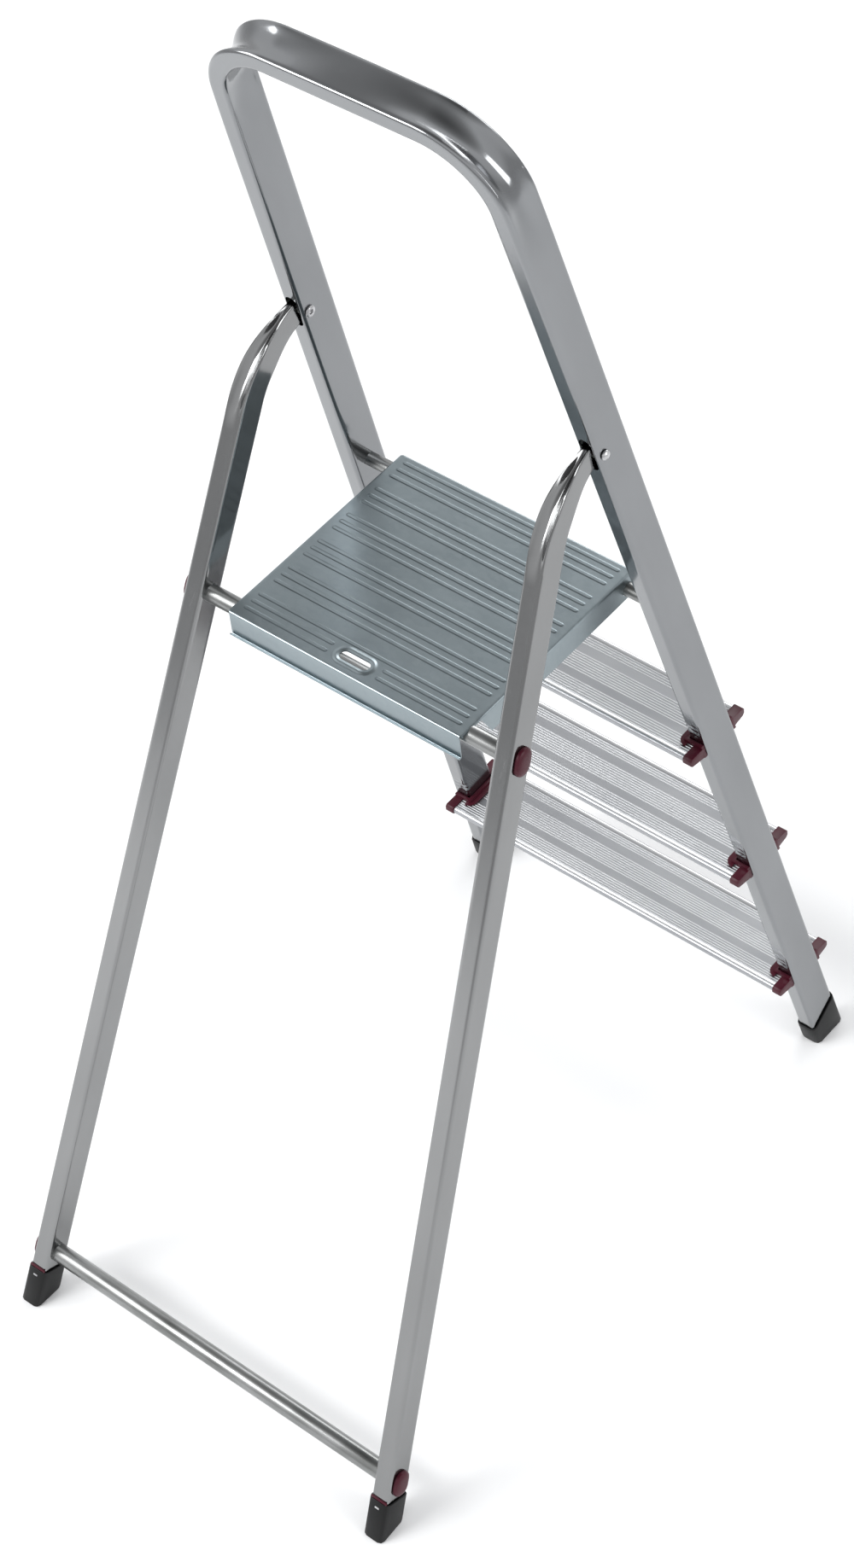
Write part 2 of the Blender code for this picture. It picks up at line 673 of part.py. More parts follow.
def make_rivet(side, material):
    """Semi-tubular rivet: domed head outside the stile, bored and rolled end inside it."""
    wall = STILE_WIDTH / 2 / math.cos(FLARE) + RIVET_HEAD_RADIUS * math.tan(FLARE) + FIT
    head = RIVET_HEAD_RADIUS
    rolled = RIVET_RADIUS * RIVET_ROLL
    bottom = -wall - RIVET_FLARE_HEIGHT
    profile = [
        (-wall, 0.0),
        (-wall, RIVET_BORE),
        (bottom, RIVET_BORE),
        (bottom, rolled - RIVET_FLARE_HEIGHT / 2),
        (bottom + RIVET_FLARE_HEIGHT / 2, rolled),
        (-wall, rolled),
        (-wall, RIVET_RADIUS),
        (wall, RIVET_RADIUS),
    ]
    for step in range(5):
        angle = math.pi / 2 * step / 5
        profile.append((wall + RIVET_HEAD_HEIGHT * math.sin(angle), head * math.cos(angle)))
    profile.append((wall + RIVET_HEAD_HEIGHT, 0.0))
    bm = bmesh.new()
    centre = Vector((side * PIVOT_HALF_SPAN, PIVOT.y, PIVOT.z))
    add_turned(bm, profile, centre, side)
    return finish(f"pivot_rivet_{'right' if side > 0 else 'left'}", bm, material)


def make_washer(side, inward, material):
    """Nylon washer beside the leg's flattened end, inside the stile."""
    near = TONGUE_WIDTH / 2 + FIT
    sign = -side if inward else side
    centre = Vector((side * PIVOT_HALF_SPAN, PIVOT.y, PIVOT.z))
    bore = RIVET_RADIUS + FIT
    far = near + WASHER_THICKNESS
    bm = bmesh.new()
    add_turned(bm, [(near, bore), (near, WASHER_RADIUS), (far, WASHER_RADIUS), (far, bore)], centre, sign)
    place = "inner" if inward else "outer"
    return finish(f"pivot_washer_{'right' if side > 0 else 'left'}_{place}", bm, material)


# ---- platform --------------------------------------------------------------------------------
def platform_edges():
    """Front and rear Y of the platform sheet."""
    return PLATFORM_AXIS.y - PLATFORM_FRONT, UPPER_TUBE_Y + PLATFORM_REAR


def make_platform(material, pivot):
    front, rear = platform_edges()
    half = PLATFORM_WIDTH / 2
    top = PLATFORM_HEIGHT
    bottom = top - PLATFORM_FLANGE
    middle = (front + rear) / 2
    bm = bmesh.new()
    outline = rounded_rectangle(PLATFORM_WIDTH, rear - front, PLATFORM_CORNER)
    soft = PLATFORM_SHEET
    inset = rounded_rectangle(PLATFORM_WIDTH - 2 * soft, rear - front - 2 * soft, PLATFORM_CORNER - soft)
    levels = ((outline, bottom), (outline, top - soft), (inset, top))
    add_skin(bm, [[Vector((x, y + middle, z)) for x, y in ring] for ring, z in levels])
    platform = finish("platform", bm, material, pivot)
    bm = bmesh.new()
    across = half - PLATFORM_CORNER
    add_box(bm, (-across, rear - soft, bottom), (across, rear + PLATFORM_LIP, bottom + PLATFORM_HEM))
    cut(platform, cutter("platform_hem", bm), "UNION")
    bm = bmesh.new()
    levels = (bottom - soft, top - soft)
    add_skin(bm, [[Vector((x, y + middle, z)) for x, y in inset] for z in levels])
    cut(platform, cutter("platform_hollow", bm))
    bm = bmesh.new()
    for side in (1, -1):
        add_notch(bm, side, half, bottom, rear)
        near = Vector((side * (half - 4 * soft), PLATFORM_AXIS.y, PLATFORM_AXIS.z))
        far = Vector((side * (half + 4 * soft), PLATFORM_AXIS.y, PLATFORM_AXIS.z))
        add_rod(bm, near, far, PLATFORM_TUBE_RADIUS + FIT)
    add_grip_slot(bm, rear, top)
    cut(platform, cutter("platform_cuts", bm))
    return platform


def add_notch(bm, side, half, bottom, rear):
    """The side flange stops short of the upper tube, so that the platform hooks over it."""
    near = half - 4 * PLATFORM_SHEET
    ahead = UPPER_TUBE_Y - UPPER_TUBE_RADIUS - NOTCH_AHEAD
    low = bottom - PLATFORM_SHEET
    high = PLATFORM_HEIGHT - PLATFORM_SHEET - FIT
    back = rear - PLATFORM_SHEET - FIT
    outline = [(ahead, high), (ahead - NOTCH_SLOPE, low), (back, low), (back, high)]
    add_x_prism(bm, outline, side * near, side * (half + PLATFORM_SHEET))


def add_grip_slot(bm, rear, top):
    radius = GRIP_WIDTH / 2
    centre = rear - GRIP_INSET
    ring = []
    for turn in (0, 1):
        for step in range(9):
            angle = math.pi * (turn - 0.5 + step / 8)
            across = (GRIP_LENGTH / 2 - radius) * (1 if turn == 0 else -1)
            ring.append((across + radius * math.cos(angle), centre + radius * math.sin(angle)))
    levels = (top - 3 * PLATFORM_SHEET, top + PLATFORM_SHEET)
    add_skin(bm, [[Vector((x, y, z)) for x, y in ring] for z in levels])


# ---- feet ------------------------------------------------------------------------------------
def make_foot(name, lines, size, rim, square, material, pivot=None):
    """Moulded sleeve: level sole, a rim as a (point, normal) plane, and a socket whose floor is
    square to the vector given. Lines are the tube's (centre, axis, across, back) at the floor."""
    centre, axis, across, back = lines
    width, depth, corner = size
    level = Vector((0.0, 0.0, 1.0))
    outline = rounded_rectangle(width + 2 * FOOT_WALL, depth + 2 * FOOT_WALL, corner + FOOT_WALL)
    edges = [centre + across * a + back * b for a, b in outline]
    sole = (Vector((0.0, 0.0, 0.0)), level)
    bm = bmesh.new()
    add_skin(bm, [[onto_plane(p, axis, *plane) for p in edges] for plane in (sole, rim)])
    foot = finish(name, bm, material, pivot)
    outline = rounded_rectangle(width + 2 * FIT, depth + 2 * FIT, corner + FIT)
    edges = [centre + across * a + back * b for a, b in outline]
    seat = onto_plane(centre, axis, level * (FOOT_SOLE - FIT), level)
    seat += axis * (depth / 2 * abs(axis.y) / axis.z)
    beyond = (centre + axis * 4 * depth, square)
    bm = bmesh.new()
    add_skin(bm, [[onto_plane(p, axis, *plane) for p in edges] for plane in ((seat, square), beyond)])
    cut(foot, cutter(f"{name}_socket", bm))
    return foot


def make_front_foot(side, material):
    up, out = stile_axis(side)
    level = Vector((0.0, 0.0, 1.0))
    centre = stile_point(side, -PIVOT.z / math.cos(FRONT_LEAN))
    rim = onto_plane(centre, up, level * FRONT_RIM_HEIGHT, level)
    normal = Vector((0.0, math.sin(FRONT_RIM_SLOPE), math.cos(FRONT_RIM_SLOPE)))
    lines = (centre, up, out, STILE_BACK)
    size = (STILE_WIDTH, STILE_DEPTH, STILE_CORNER)
    name = f"front_foot_{'right' if side > 0 else 'left'}"
    return make_foot(name, lines, size, (rim, normal), up, material)


def make_rear_foot(side, material, pivot):
    level = Vector((0.0, 0.0, 1.0))
    centre = leg_centre(side, leg_along(0.0), LEG_OFFSET)
    axis = (leg_centre(side, 0.0, LEG_OFFSET) - centre).normalized()
    rim = onto_plane(centre, axis, level * REAR_RIM_HEIGHT, level)
    lines = (centre, axis, Vector((1.0, 0.0, 0.0)), LEG_BACK)
    size = (LEG_WIDTH, LEG_DEPTH, LEG_CORNER)
    name = f"rear_foot_{'right' if side > 0 else 'left'}"
    return make_foot(name, lines, size, (rim, -LEG_DOWN), -LEG_DOWN, material, pivot)


# ---- the whole ladder --------------------------------------------------------------------------
def build():
    for item in list(bpy.data.objects):
        bpy.data.objects.remove(item, do_unlink=True)
    aluminium = make_material("aluminium", (0.62, 0.64, 0.66), 0.3, 1.0)
    tread_metal = make_material("tread_aluminium", (0.66, 0.68, 0.70), 0.38, 1.0)
    galvanised = make_material("galvanised_sheet", (0.45, 0.52, 0.54), 0.45, 1.0)
    zinc = make_material("zinc_tube", (0.50, 0.53, 0.54), 0.35, 1.0)
    steel = make_material("rivet_steel", (0.55, 0.55, 0.55), 0.3, 1.0)
    burgundy = make_material("burgundy_plastic", (0.060, 0.005, 0.014), 0.4, 0.0)
    black = make_material("black_plastic", (0.006, 0.008, 0.008), 0.5, 0.0)
    nylon = make_material("nylon", (0.75, 0.74, 0.70), 0.5, 0.0)

    rear_pivot = joint_empty("rear_frame_pivot", PIVOT)
    platform_pivot = joint_empty("platform_pivot", PLATFORM_AXIS)

    make_front_frame(aluminium)
    for number in range(1, TREADS + 1):
        make_tread(number, tread_metal)
        for side in (1, -1):
            make_bracket(number, side, burgundy)
    inner_wall = stile_half_span(PLATFORM_AXIS.z) + STILE_WIDTH / 2 - STILE_WALL
    half = inner_wall - PLATFORM_TUBE_RADIUS * math.tan(FLARE) - FIT
    make_round_tube("platform_pivot_tube", half, PLATFORM_AXIS, PLATFORM_TUBE_RADIUS, zinc)
    make_platform(galvanised, platform_pivot)

    for side in (1, -1):
        word = "right" if side > 0 else "left"
        make_rivet(side, steel)
        make_washer(side, True, nylon)
        make_washer(side, False, nylon)
        make_front_foot(side, black)
        make_leg(side, aluminium, rear_pivot)
        make_rear_foot(side, black, rear_pivot)
        for place, (height, radius) in zip(("upper", "lower"), cross_tubes()):
            make_cap(f"{place}_tube_cap_{word}", side, height, radius, burgundy, rear_pivot)
    for place, (height, radius) in zip(("upper", "lower"), cross_tubes()):
        centre = tube_end(1, height)
        half = centre.x + LEG_WIDTH / 2 - radius * math.tan(FLARE)
        make_round_tube(f"{place}_rear_tube", half, centre, radius, zinc, rear_pivot)


build()
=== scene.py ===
"""Looks of a folding aluminium step ladder: every visible piece of it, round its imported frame.

Metres, +Z up. The climbing side faces -Y and the rear legs stand at +Y. Right is +X.
"""

import json
import math

import bpy
from mathutils import Matrix, Vector


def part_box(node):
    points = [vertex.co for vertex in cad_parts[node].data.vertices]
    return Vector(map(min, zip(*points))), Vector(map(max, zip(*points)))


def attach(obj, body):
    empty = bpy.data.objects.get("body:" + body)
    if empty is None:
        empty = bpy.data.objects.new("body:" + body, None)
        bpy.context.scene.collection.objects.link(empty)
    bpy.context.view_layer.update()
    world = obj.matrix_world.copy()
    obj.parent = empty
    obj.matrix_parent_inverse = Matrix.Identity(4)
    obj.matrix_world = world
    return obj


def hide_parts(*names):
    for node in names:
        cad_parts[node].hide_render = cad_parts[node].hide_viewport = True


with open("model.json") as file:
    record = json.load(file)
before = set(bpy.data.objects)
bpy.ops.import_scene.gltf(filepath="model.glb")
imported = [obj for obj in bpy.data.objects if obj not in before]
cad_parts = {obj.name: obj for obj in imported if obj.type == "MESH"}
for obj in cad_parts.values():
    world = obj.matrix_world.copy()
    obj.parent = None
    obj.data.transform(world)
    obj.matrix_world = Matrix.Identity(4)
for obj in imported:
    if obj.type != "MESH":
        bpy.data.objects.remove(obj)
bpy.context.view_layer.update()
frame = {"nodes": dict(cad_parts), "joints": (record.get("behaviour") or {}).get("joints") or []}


# ---- the studio -------------------------------------------------------------------------------
# A pale sweep under large soft boxes. The camera looks down from behind the left rear leg.
# Bare metal takes its tone from what it mirrors, so the sky is bright low down and dim overhead.
CAMERA_PLACE = Vector((-1.58714, 1.59179, 3.10847))
CAMERA_AIM = Vector((-0.05571, 0.01339, 0.64811))
CAMERA_ROLL = -0.11842
CAMERA_LENS = 82.162
FLOOR_COLOUR = (0.94, 0.945, 0.95, 1.0)


def aim_matrix(place, target, roll=0.0):
    """A camera's or a lamp's matrix, looking from one point to another."""
    forward = (target - place).normalized()
    right = forward.cross(Vector((0.0, 0.0, 1.0))).normalized()
    up = right.cross(forward)
    across = right * math.cos(roll) + up * math.sin(roll)
    above = up * math.cos(roll) - right * math.sin(roll)
    turn = Matrix((across, above, -forward)).transposed()
    return Matrix.Translation(place) @ turn.to_4x4()


bpy.ops.object.select_all(action="DESELECT")
bpy.ops.object.camera_add()
camera = bpy.context.object
camera.matrix_world = aim_matrix(CAMERA_PLACE, CAMERA_AIM, CAMERA_ROLL)
camera.data.lens = CAMERA_LENS
camera.data.sensor_width = 36.0
camera.data.clip_end = 60.0
bpy.context.scene.camera = camera
bpy.context.scene.view_settings.view_transform = "Standard"


def add_soft_box(name, place, target, size, power):
    bpy.ops.object.light_add(type="AREA")
    lamp = bpy.context.object
    lamp.name = name
    lamp.matrix_world = aim_matrix(Vector(place), Vector(target))
    lamp.data.shape = "RECTANGLE"
    lamp.data.size, lamp.data.size_y = size
    lamp.data.energy = power


add_soft_box("right_soft_box", (2.6, 1.9, 2.7), (0.0, 0.0, 0.7), (2.2, 1.6), 60.0)
add_soft_box("fold_soft_box", (1.75, 2.9, 3.3), (0.0, 0.0, 0.9), (1.5, 1.3), 70.0)
add_soft_box("left_soft_box", (-3.0, -0.6, 2.2), (0.0, 0.0, 0.7), (1.4, 2.0), 36.0)
add_soft_box("front_soft_box", (0.6, -3.2, 2.3), (0.0, 0.0, 0.8), (2.4, 1.2), 40.0)


def make_sky():
    """Bright near the horizon, dimmer overhead."""
    world = bpy.data.worlds.new("studio_sky")
    world.use_nodes = True
    nodes, links = world.node_tree.nodes, world.node_tree.links
    place = nodes.new("ShaderNodeTexCoord")
    split = nodes.new("ShaderNodeSeparateXYZ")
    ramp = nodes.new("ShaderNodeValToRGB")
    stops = ((0.0, 0.62), (0.22, 0.92), (0.58, 1.00), (0.78, 0.50), (1.0, 0.20))
    while len(ramp.color_ramp.elements) < len(stops):
        ramp.color_ramp.elements.new(0.5)
    for element, (position, level) in zip(ramp.color_ramp.elements, stops):
        element.position = position
        element.color = (level, level * 1.005, level * 1.015, 1.0)
    links.new(place.outputs["Generated"], split.inputs["Vector"])
    links.new(split.outputs["Z"], ramp.inputs["Fac"])
    links.new(ramp.outputs["Color"], nodes["Background"].inputs["Color"])
    nodes["Background"].inputs["Strength"].default_value = 0.95
    bpy.context.scene.world = world


make_sky()


class Wire:
    """A node socket in an expression: each operator adds the Math node that it stands for."""

    def __init__(self, finish, socket):
        self.finish = finish
        self.socket = socket

    def maths(self, operation, *values):
        return self.finish.node("ShaderNodeMath", {"operation": operation}, *values)

    def __add__(self, other):
        return self.maths("ADD", self, other)

    def __sub__(self, other):
        return self.maths("SUBTRACT", self, other)

    def __rsub__(self, other):
        return self.maths("SUBTRACT", other, self)

    def __mul__(self, other):
        return self.maths("MULTIPLY", self, other)

    __radd__ = __add__
    __rmul__ = __mul__


class Finish:
    """A material under construction, on one Principled shader."""

    def __init__(self, name, colour, roughness, metallic=0.0):
        self.material = bpy.data.materials.new(name)
        self.material.use_nodes = True
        self.tree = self.material.node_tree
        self.shader = self.tree.nodes["Principled BSDF"]
        self.shader.inputs["Base Color"].default_value = (*colour, 1.0)
        self.shader.inputs["Roughness"].default_value = roughness
        self.shader.inputs["Metallic"].default_value = metallic
        self.material.diffuse_color = (*colour, 1.0)

    def node(self, kind, settings, *values, output=0, **named):
        """Adds a node: its settings first, then its inputs in order or by name."""
        node = self.tree.nodes.new(kind)
        for setting, value in settings.items():
            setattr(node, setting, value)
        for index, value in enumerate(values):
            self.plug(node.inputs[index], value)
        for name, value in named.items():
            self.plug(node.inputs[name.replace("_", " ")], value)
        return Wire(self, node.outputs[output])

    def plug(self, socket, value):
        if isinstance(value, Wire):
            self.tree.links.new(value.socket, socket)
        elif value is not None:
            socket.default_value = value

    def set(self, **sockets):
        for name, value in sockets.items():
            self.plug(self.shader.inputs[name.replace("_", " ")], value)

    def place(self):
        return self.node("ShaderNodeTexCoord", {}, output=3)

    def attribute(self, name, output=1):
        settings = {"attribute_type": "GEOMETRY", "attribute_name": name}
        return self.node("ShaderNodeAttribute", settings, output=output)

    def stretched(self, vector, scale):
        return self.node("ShaderNodeMapping", {}, Vector=vector, Scale=scale)

    def noise(self, vector, scale, detail=4.0, roughness=0.5):
        return self.node(
            "ShaderNodeTexNoise", {}, Vector=vector, Scale=scale, Detail=detail, Roughness=roughness
        )

    def spread(self, value, low, high, to_low=0.0, to_high=1.0):
        """Takes a range of values to another, cut off at its ends."""
        return self.node("ShaderNodeMapRange", {"clamp": True}, value, low, high, to_low, to_high)

    def mix(self, factor, first, second):
        """Between two colours, or two wires that carry colours."""
        node = self.tree.nodes.new("ShaderNodeMix")
        node.data_type = "RGBA"
        for index, value in ((0, factor), (6, first), (7, second)):
            value = (*value, 1.0) if isinstance(value, tuple) else value
            self.plug(node.inputs[index], value)
        return Wire(self, node.outputs[2])

    def bump(self, height, strength, distance):
        wire = self.node("ShaderNodeBump", {}, Strength=strength, Distance=distance, Height=height)
        self.plug(self.shader.inputs["Normal"], wire)


def dress(piece, finish):
    """Gives a piece its one material."""
    piece.data.materials.clear()
    piece.data.materials.append(finish.material)


def make_floor():
    bpy.ops.mesh.primitive_plane_add(size=16.0, location=(0.0, 0.0, -0.0006))
    floor = bpy.context.object
    floor.name = "studio_floor"
    finish = Finish("floor_paint", FLOOR_COLOUR[:3], 0.9)
    cloud = finish.noise(finish.place(), 0.8, detail=2.0)
    finish.set(Base_Color=finish.mix(cloud, FLOOR_COLOUR[:3], (0.92, 0.925, 0.93)))
    dress(floor, finish)


make_floor()


# ---- bent tube: both stiles and the guard hoop ---------------------------------------------------
# One 40 x 20 mm aluminium tube, drawn bright, cut to length and bent twice across its narrow side.
# Each bend sinks the outer wall into a trough between two ridges, and dents the inner wall below.
FRONT_LEAN = math.radians(13.2)
FLARE = math.radians(3.4)
PIVOT = Vector(frame["joints"][0]["pos_m"])
PIVOT_HALF_SPAN = 0.165
PIVOT_SETBACK = 0.0118
HOOP_REACH = 0.3809
HOOP_BEND = 0.070
STILE_WIDTH = 0.020
STILE_DEPTH = 0.040
STILE_CORNER = 0.0035
STILE_WALL = 0.0015
TROUGH_DEPTH = 0.0082
TROUGH_HALF = 0.0172
RIDGE_DROP = 0.0012
DENT_DEPTH = 0.0036
STEP_RISE = 0.2195
PLATFORM_TOP = 0.795

UP = Vector((0.0, math.sin(FRONT_LEAN), math.cos(FRONT_LEAN)))
BACK = Vector((0.0, math.cos(FRONT_LEAN), -math.sin(FRONT_LEAN)))
ACROSS = Vector((1.0, 0.0, 0.0))

BEND_LEVEL = HOOP_REACH - STILE_WIDTH / 2 - HOOP_BEND
TOP_BAR = PIVOT_HALF_SPAN - BEND_LEVEL * math.tan(FLARE) - HOOP_BEND / math.cos(FLARE)
BEND_LENGTH = HOOP_BEND * (math.pi / 2 - FLARE)
BEND_END = TOP_BAR + BEND_LENGTH
BEND_MIDDLE = TOP_BAR + BEND_LENGTH / 2


def smooth(value):
    value = min(max(value, 0.0), 1.0)
    return value * value * (3 - 2 * value)


def hump(distance, reach):
    """1 at the middle, falling smoothly to 0 at this reach on either side."""
    return smooth(1 - abs(distance) / reach)


def apply_modifier(piece, kind, **settings):
    bpy.ops.object.select_all(action="DESELECT")
    piece.select_set(True)
    bpy.context.view_layer.objects.active = piece
    bpy.ops.object.modifier_add(type=kind)
    modifier = piece.modifiers[-1]
    for setting, value in settings.items():
        setattr(modifier, setting, value)
    bpy.ops.object.modifier_apply(modifier=modifier.name)


def draw_tube(name, size, corner, cuts, stations):
    """A length of tube along Z: its rounded outline, drawn out from station to station."""
    width, depth = size
    bpy.ops.object.select_all(action="DESELECT")
    bpy.ops.mesh.primitive_plane_add(size=1.0, location=(0.0, 0.0, stations[0]))
    piece = bpy.context.object
    piece.name = name
    piece.scale = (width, depth, 1.0)
    bpy.ops.object.transform_apply(location=True, rotation=False, scale=True)
    bpy.ops.object.mode_set(mode="EDIT")
    bpy.ops.mesh.select_all(action="SELECT")
    bpy.ops.mesh.bevel(offset=corner, segments=4, affect="VERTICES")
    bpy.ops.mesh.delete(type="ONLY_FACE")
    for length, count in ((depth - 2 * corner, cuts[1]), (width - 2 * corner, cuts[0])):
        select_edges(piece, lambda edge: abs(edge - length) < length * 0.02)
        bpy.ops.mesh.subdivide(number_cuts=count)
    bpy.ops.mesh.select_all(action="SELECT")
    for low, high in zip(stations, stations[1:]):
        bpy.ops.mesh.extrude_region_move(TRANSFORM_OT_translate={"value": (0.0, 0.0, high - low)})
    bpy.ops.mesh.select_all(action="SELECT")
    bpy.ops.mesh.normals_make_consistent(inside=False)
    bpy.ops.object.mode_set(mode="OBJECT")
    return piece


def select_edges(piece, wanted):
    """Selects the edges whose length passes a test, in edit mode."""
    bpy.ops.object.mode_set(mode="OBJECT")
    mesh = piece.data
    for item in list(mesh.polygons) + list(mesh.vertices):
        item.select = False
    for edge in mesh.edges:
        first, second = (mesh.vertices[index].co for index in edge.vertices)
        edge.select = wanted((first - second).length)
    bpy.ops.object.mode_set(mode="EDIT")
    bpy.ops.mesh.select_mode(type="EDGE")


def keep_stock_places(piece):
    """Remembers where each point was on the straight stock, for the metal's grain."""
    attribute = piece.data.attributes.new("stock", "FLOAT_VECTOR", "POINT")
    for item, vertex in zip(attribute.data, piece.data.vertices):
        item.vector = vertex.co


def reshape(piece, rule):
    for vertex in piece.data.vertices:
        vertex.co = rule(vertex.co)
    piece.data.update()


def soften(piece, angle=32.0):
    bpy.ops.object.select_all(action="DESELECT")
    piece.select_set(True)
    bpy.context.view_layer.objects.active = piece
    bpy.ops.object.shade_smooth_by_angle(angle=math.radians(angle))


def face_outwards(piece):
    bpy.ops.object.select_all(action="DESELECT")
    piece.select_set(True)
    bpy.context.view_layer.objects.active = piece
    bpy.ops.object.mode_set(mode="EDIT")
    bpy.ops.mesh.select_all(action="SELECT")
    bpy.ops.mesh.normals_make_consistent(inside=False)
    bpy.ops.object.mode_set(mode="OBJECT")


def spaced(start, end, step):
    count = max(1, round((end - start) / step))
    return [start + (end - start) * index / count for index in range(count)]


def stile_along(height):
    return (height - PIVOT.z) / math.cos(FRONT_LEAN)


def hoop_distance(along):
    """Distance along the tube, from the middle of the hoop, of a place on a stile."""
    return BEND_END + (BEND_LEVEL - along) / math.cos(FLARE)


FRAME_FOOT = hoop_distance(stile_along(0.012))
CRUSH_MARKS = [hoop_distance(stile_along(PLATFORM_TOP - n * STEP_RISE + 0.022)) for n in (1, 2, 3)]


def frame_stations():
    half = spaced(0.0, TOP_BAR - 0.03, 0.012) + spaced(TOP_BAR - 0.03, BEND_END + 0.09, 0.0026)
    place = BEND_END + 0.09
    for mark in CRUSH_MARKS:
        half += spaced(place, mark - 0.022, 0.03) + spaced(mark - 0.022, mark + 0.018, 0.0018)
        place = mark + 0.018
    half += spaced(place, FRAME_FOOT, 0.03) + [FRAME_FOOT]
    return [-s for s in reversed(half)] + half[1:]


def frame_path(distance):
    """(x, height on the lean, outward x, outward height) on the tube's centre line."""
    side = 1.0 if distance >= 0.0 else -1.0
    s = abs(distance)
    if s < TOP_BAR:
        return side * s, BEND_LEVEL + HOOP_BEND, 0.0, 1.0
    angle = math.pi / 2 - min(s - TOP_BAR, BEND_LENGTH) / HOOP_BEND
    beyond = max(s - BEND_END, 0.0)
    x = TOP_BAR + HOOP_BEND * math.cos(angle) + beyond * math.sin(FLARE)
    z = BEND_LEVEL + HOOP_BEND * math.sin(angle) - beyond * math.cos(FLARE)
    return side * x, z, side * math.cos(angle), math.sin(angle)


def frame_section(a, b, s):
    """The section's outward and backward places, with what the bender and the press did to it."""
    outer = smooth(0.5 + a / STILE_WIDTH)
    bend = hump(s - BEND_MIDDLE, BEND_LENGTH * 1.15)
    trough = max(0.0, 1 - (b / TROUGH_HALF) ** 2) ** 1.3
    ridge = smooth((abs(b) - 0.0125) / 0.0075)
    pressed = a - bend * outer * (TROUGH_DEPTH * trough + RIDGE_DROP * ridge)
    below = s - BEND_END
    narrow = 0.0178 - 0.16 * max(below - 0.020, 0.0)
    dent = hump(below - 0.010, 0.042) * max(0.0, 1 - (b / max(narrow, 0.004)) ** 2)
    pressed += (1 - outer) * DENT_DEPTH * dent
    back = b
    for mark in CRUSH_MARKS:
        near = hump(s - mark, 0.018) * (1 - outer) * smooth(b / (STILE_DEPTH / 2))
        back -= near * 0.0009 * (1 + math.sin((s - mark) / 0.0013))
    return pressed, back


def frame_rule(co):
    a, b = frame_section(co.x, co.y, abs(co.z))
    x, z, out_x, out_z = frame_path(co.z)
    origin = PIVOT - BACK * PIVOT_SETBACK
    return origin + ACROSS * (x + a * out_x) + UP * (z + a * out_z) + BACK * b


def obround_bar(name, width, length, thickness):
    """A bar with round ends: width along X, length along Y, thickness along Z."""
    bpy.ops.object.select_all(action="DESELECT")
    bpy.ops.mesh.primitive_cube_add(size=1.0)
    piece = bpy.context.object
    piece.name = name
    piece.scale = (width, length, thickness)
    bpy.ops.object.transform_apply(location=False, rotation=False, scale=True)
    bpy.ops.object.mode_set(mode="EDIT")
    select_edges(piece, lambda edge: abs(edge - thickness) < 1e-6)
    bpy.ops.mesh.bevel(offset=width * 0.499, segments=8)
    bpy.ops.object.mode_set(mode="OBJECT")
    return piece


def put(piece, origin, across, along, through):
    """Moves a piece's mesh so that its X, Y and Z axes lie along three directions."""
    turn = Matrix((across, along, through)).transposed().to_4x4()
    piece.data.transform(Matrix.Translation(origin) @ turn)
    piece.data.update()
    face_outwards(piece)
    return piece


def carve(piece, *tools, operation="DIFFERENCE"):
    for tool in tools:
        apply_modifier(piece, "BOOLEAN", operation=operation, solver="EXACT", object=tool)
        bpy.data.objects.remove(tool, do_unlink=True)


def stile_frame(side, along):
    """Centre of a stile at a place on the lean, its direction up and the one outwards."""
    x, z, out_x, out_z = frame_path(side * hoop_distance(along))
    origin = PIVOT - BACK * PIVOT_SETBACK + ACROSS * x + UP * z
    out = ACROSS * out_x + UP * out_z
    up = UP * math.cos(FLARE) - ACROSS * side * math.sin(FLARE)
    return origin, up, out


SLOT_ABOVE = 0.0189
SLOT_BELOW = 0.0219
SLOT_WIDTH = 0.013


def slot_cutter(side):
    origin, up, out = stile_frame(side, (SLOT_ABOVE - SLOT_BELOW) / 2)
    bar = obround_bar("slot_cutter", SLOT_WIDTH, SLOT_ABOVE + SLOT_BELOW, STILE_DEPTH / 2)
    return put(bar, origin + BACK * STILE_DEPTH / 2, out, up, BACK)


def drawn_aluminium(name, colour, roughness, vector_of):
    """Bright drawn tube: faint lengthwise draw lines, a cloudy haze and a few handling marks."""
    finish = Finish(name, colour, roughness, 1.0)
    vector = vector_of(finish)
    lines = finish.noise(finish.stretched(vector, (900.0, 900.0, 3.0)), 1.0, detail=3.0)
    haze = finish.noise(finish.stretched(vector, (18.0, 18.0, 6.0)), 1.0, detail=5.0)
    marks = finish.noise(finish.stretched(vector, (160.0, 160.0, 40.0)), 1.0, detail=6.0, roughness=0.7)
    rubbed = finish.spread(marks, 0.62, 0.72)
    tone = finish.spread(haze, 0.3, 0.7)
    darker = tuple(value * 0.90 for value in colour)
    finish.set(
        Base_Color=finish.mix(tone, darker, colour),
        Roughness=roughness - 0.03 + 0.05 * tone + 0.03 * lines + 0.12 * rubbed,
    )
    finish.bump(lines + 0.5 * marks, 0.05, 0.0001)
    return finish


def stock_vector(finish):
    return finish.attribute("stock")


frame_tube = draw_tube(
    "frame_tube", (STILE_WIDTH, STILE_DEPTH), STILE_CORNER, (8, 15), frame_stations()
)
keep_stock_places(frame_tube)
reshape(frame_tube, frame_rule)
face_outwards(frame_tube)
apply_modifier(frame_tube, "SOLIDIFY", thickness=STILE_WALL, offset=-1.0)
carve(frame_tube, slot_cutter(1.0), slot_cutter(-1.0))
soften(frame_tube)
bright_tube = drawn_aluminium("bright_drawn_aluminium", (0.285, 0.293, 0.303), 0.13, stock_vector)
dress(frame_tube, bright_tube)
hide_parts("front_frame")
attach(frame_tube, "stiles_and_treads")


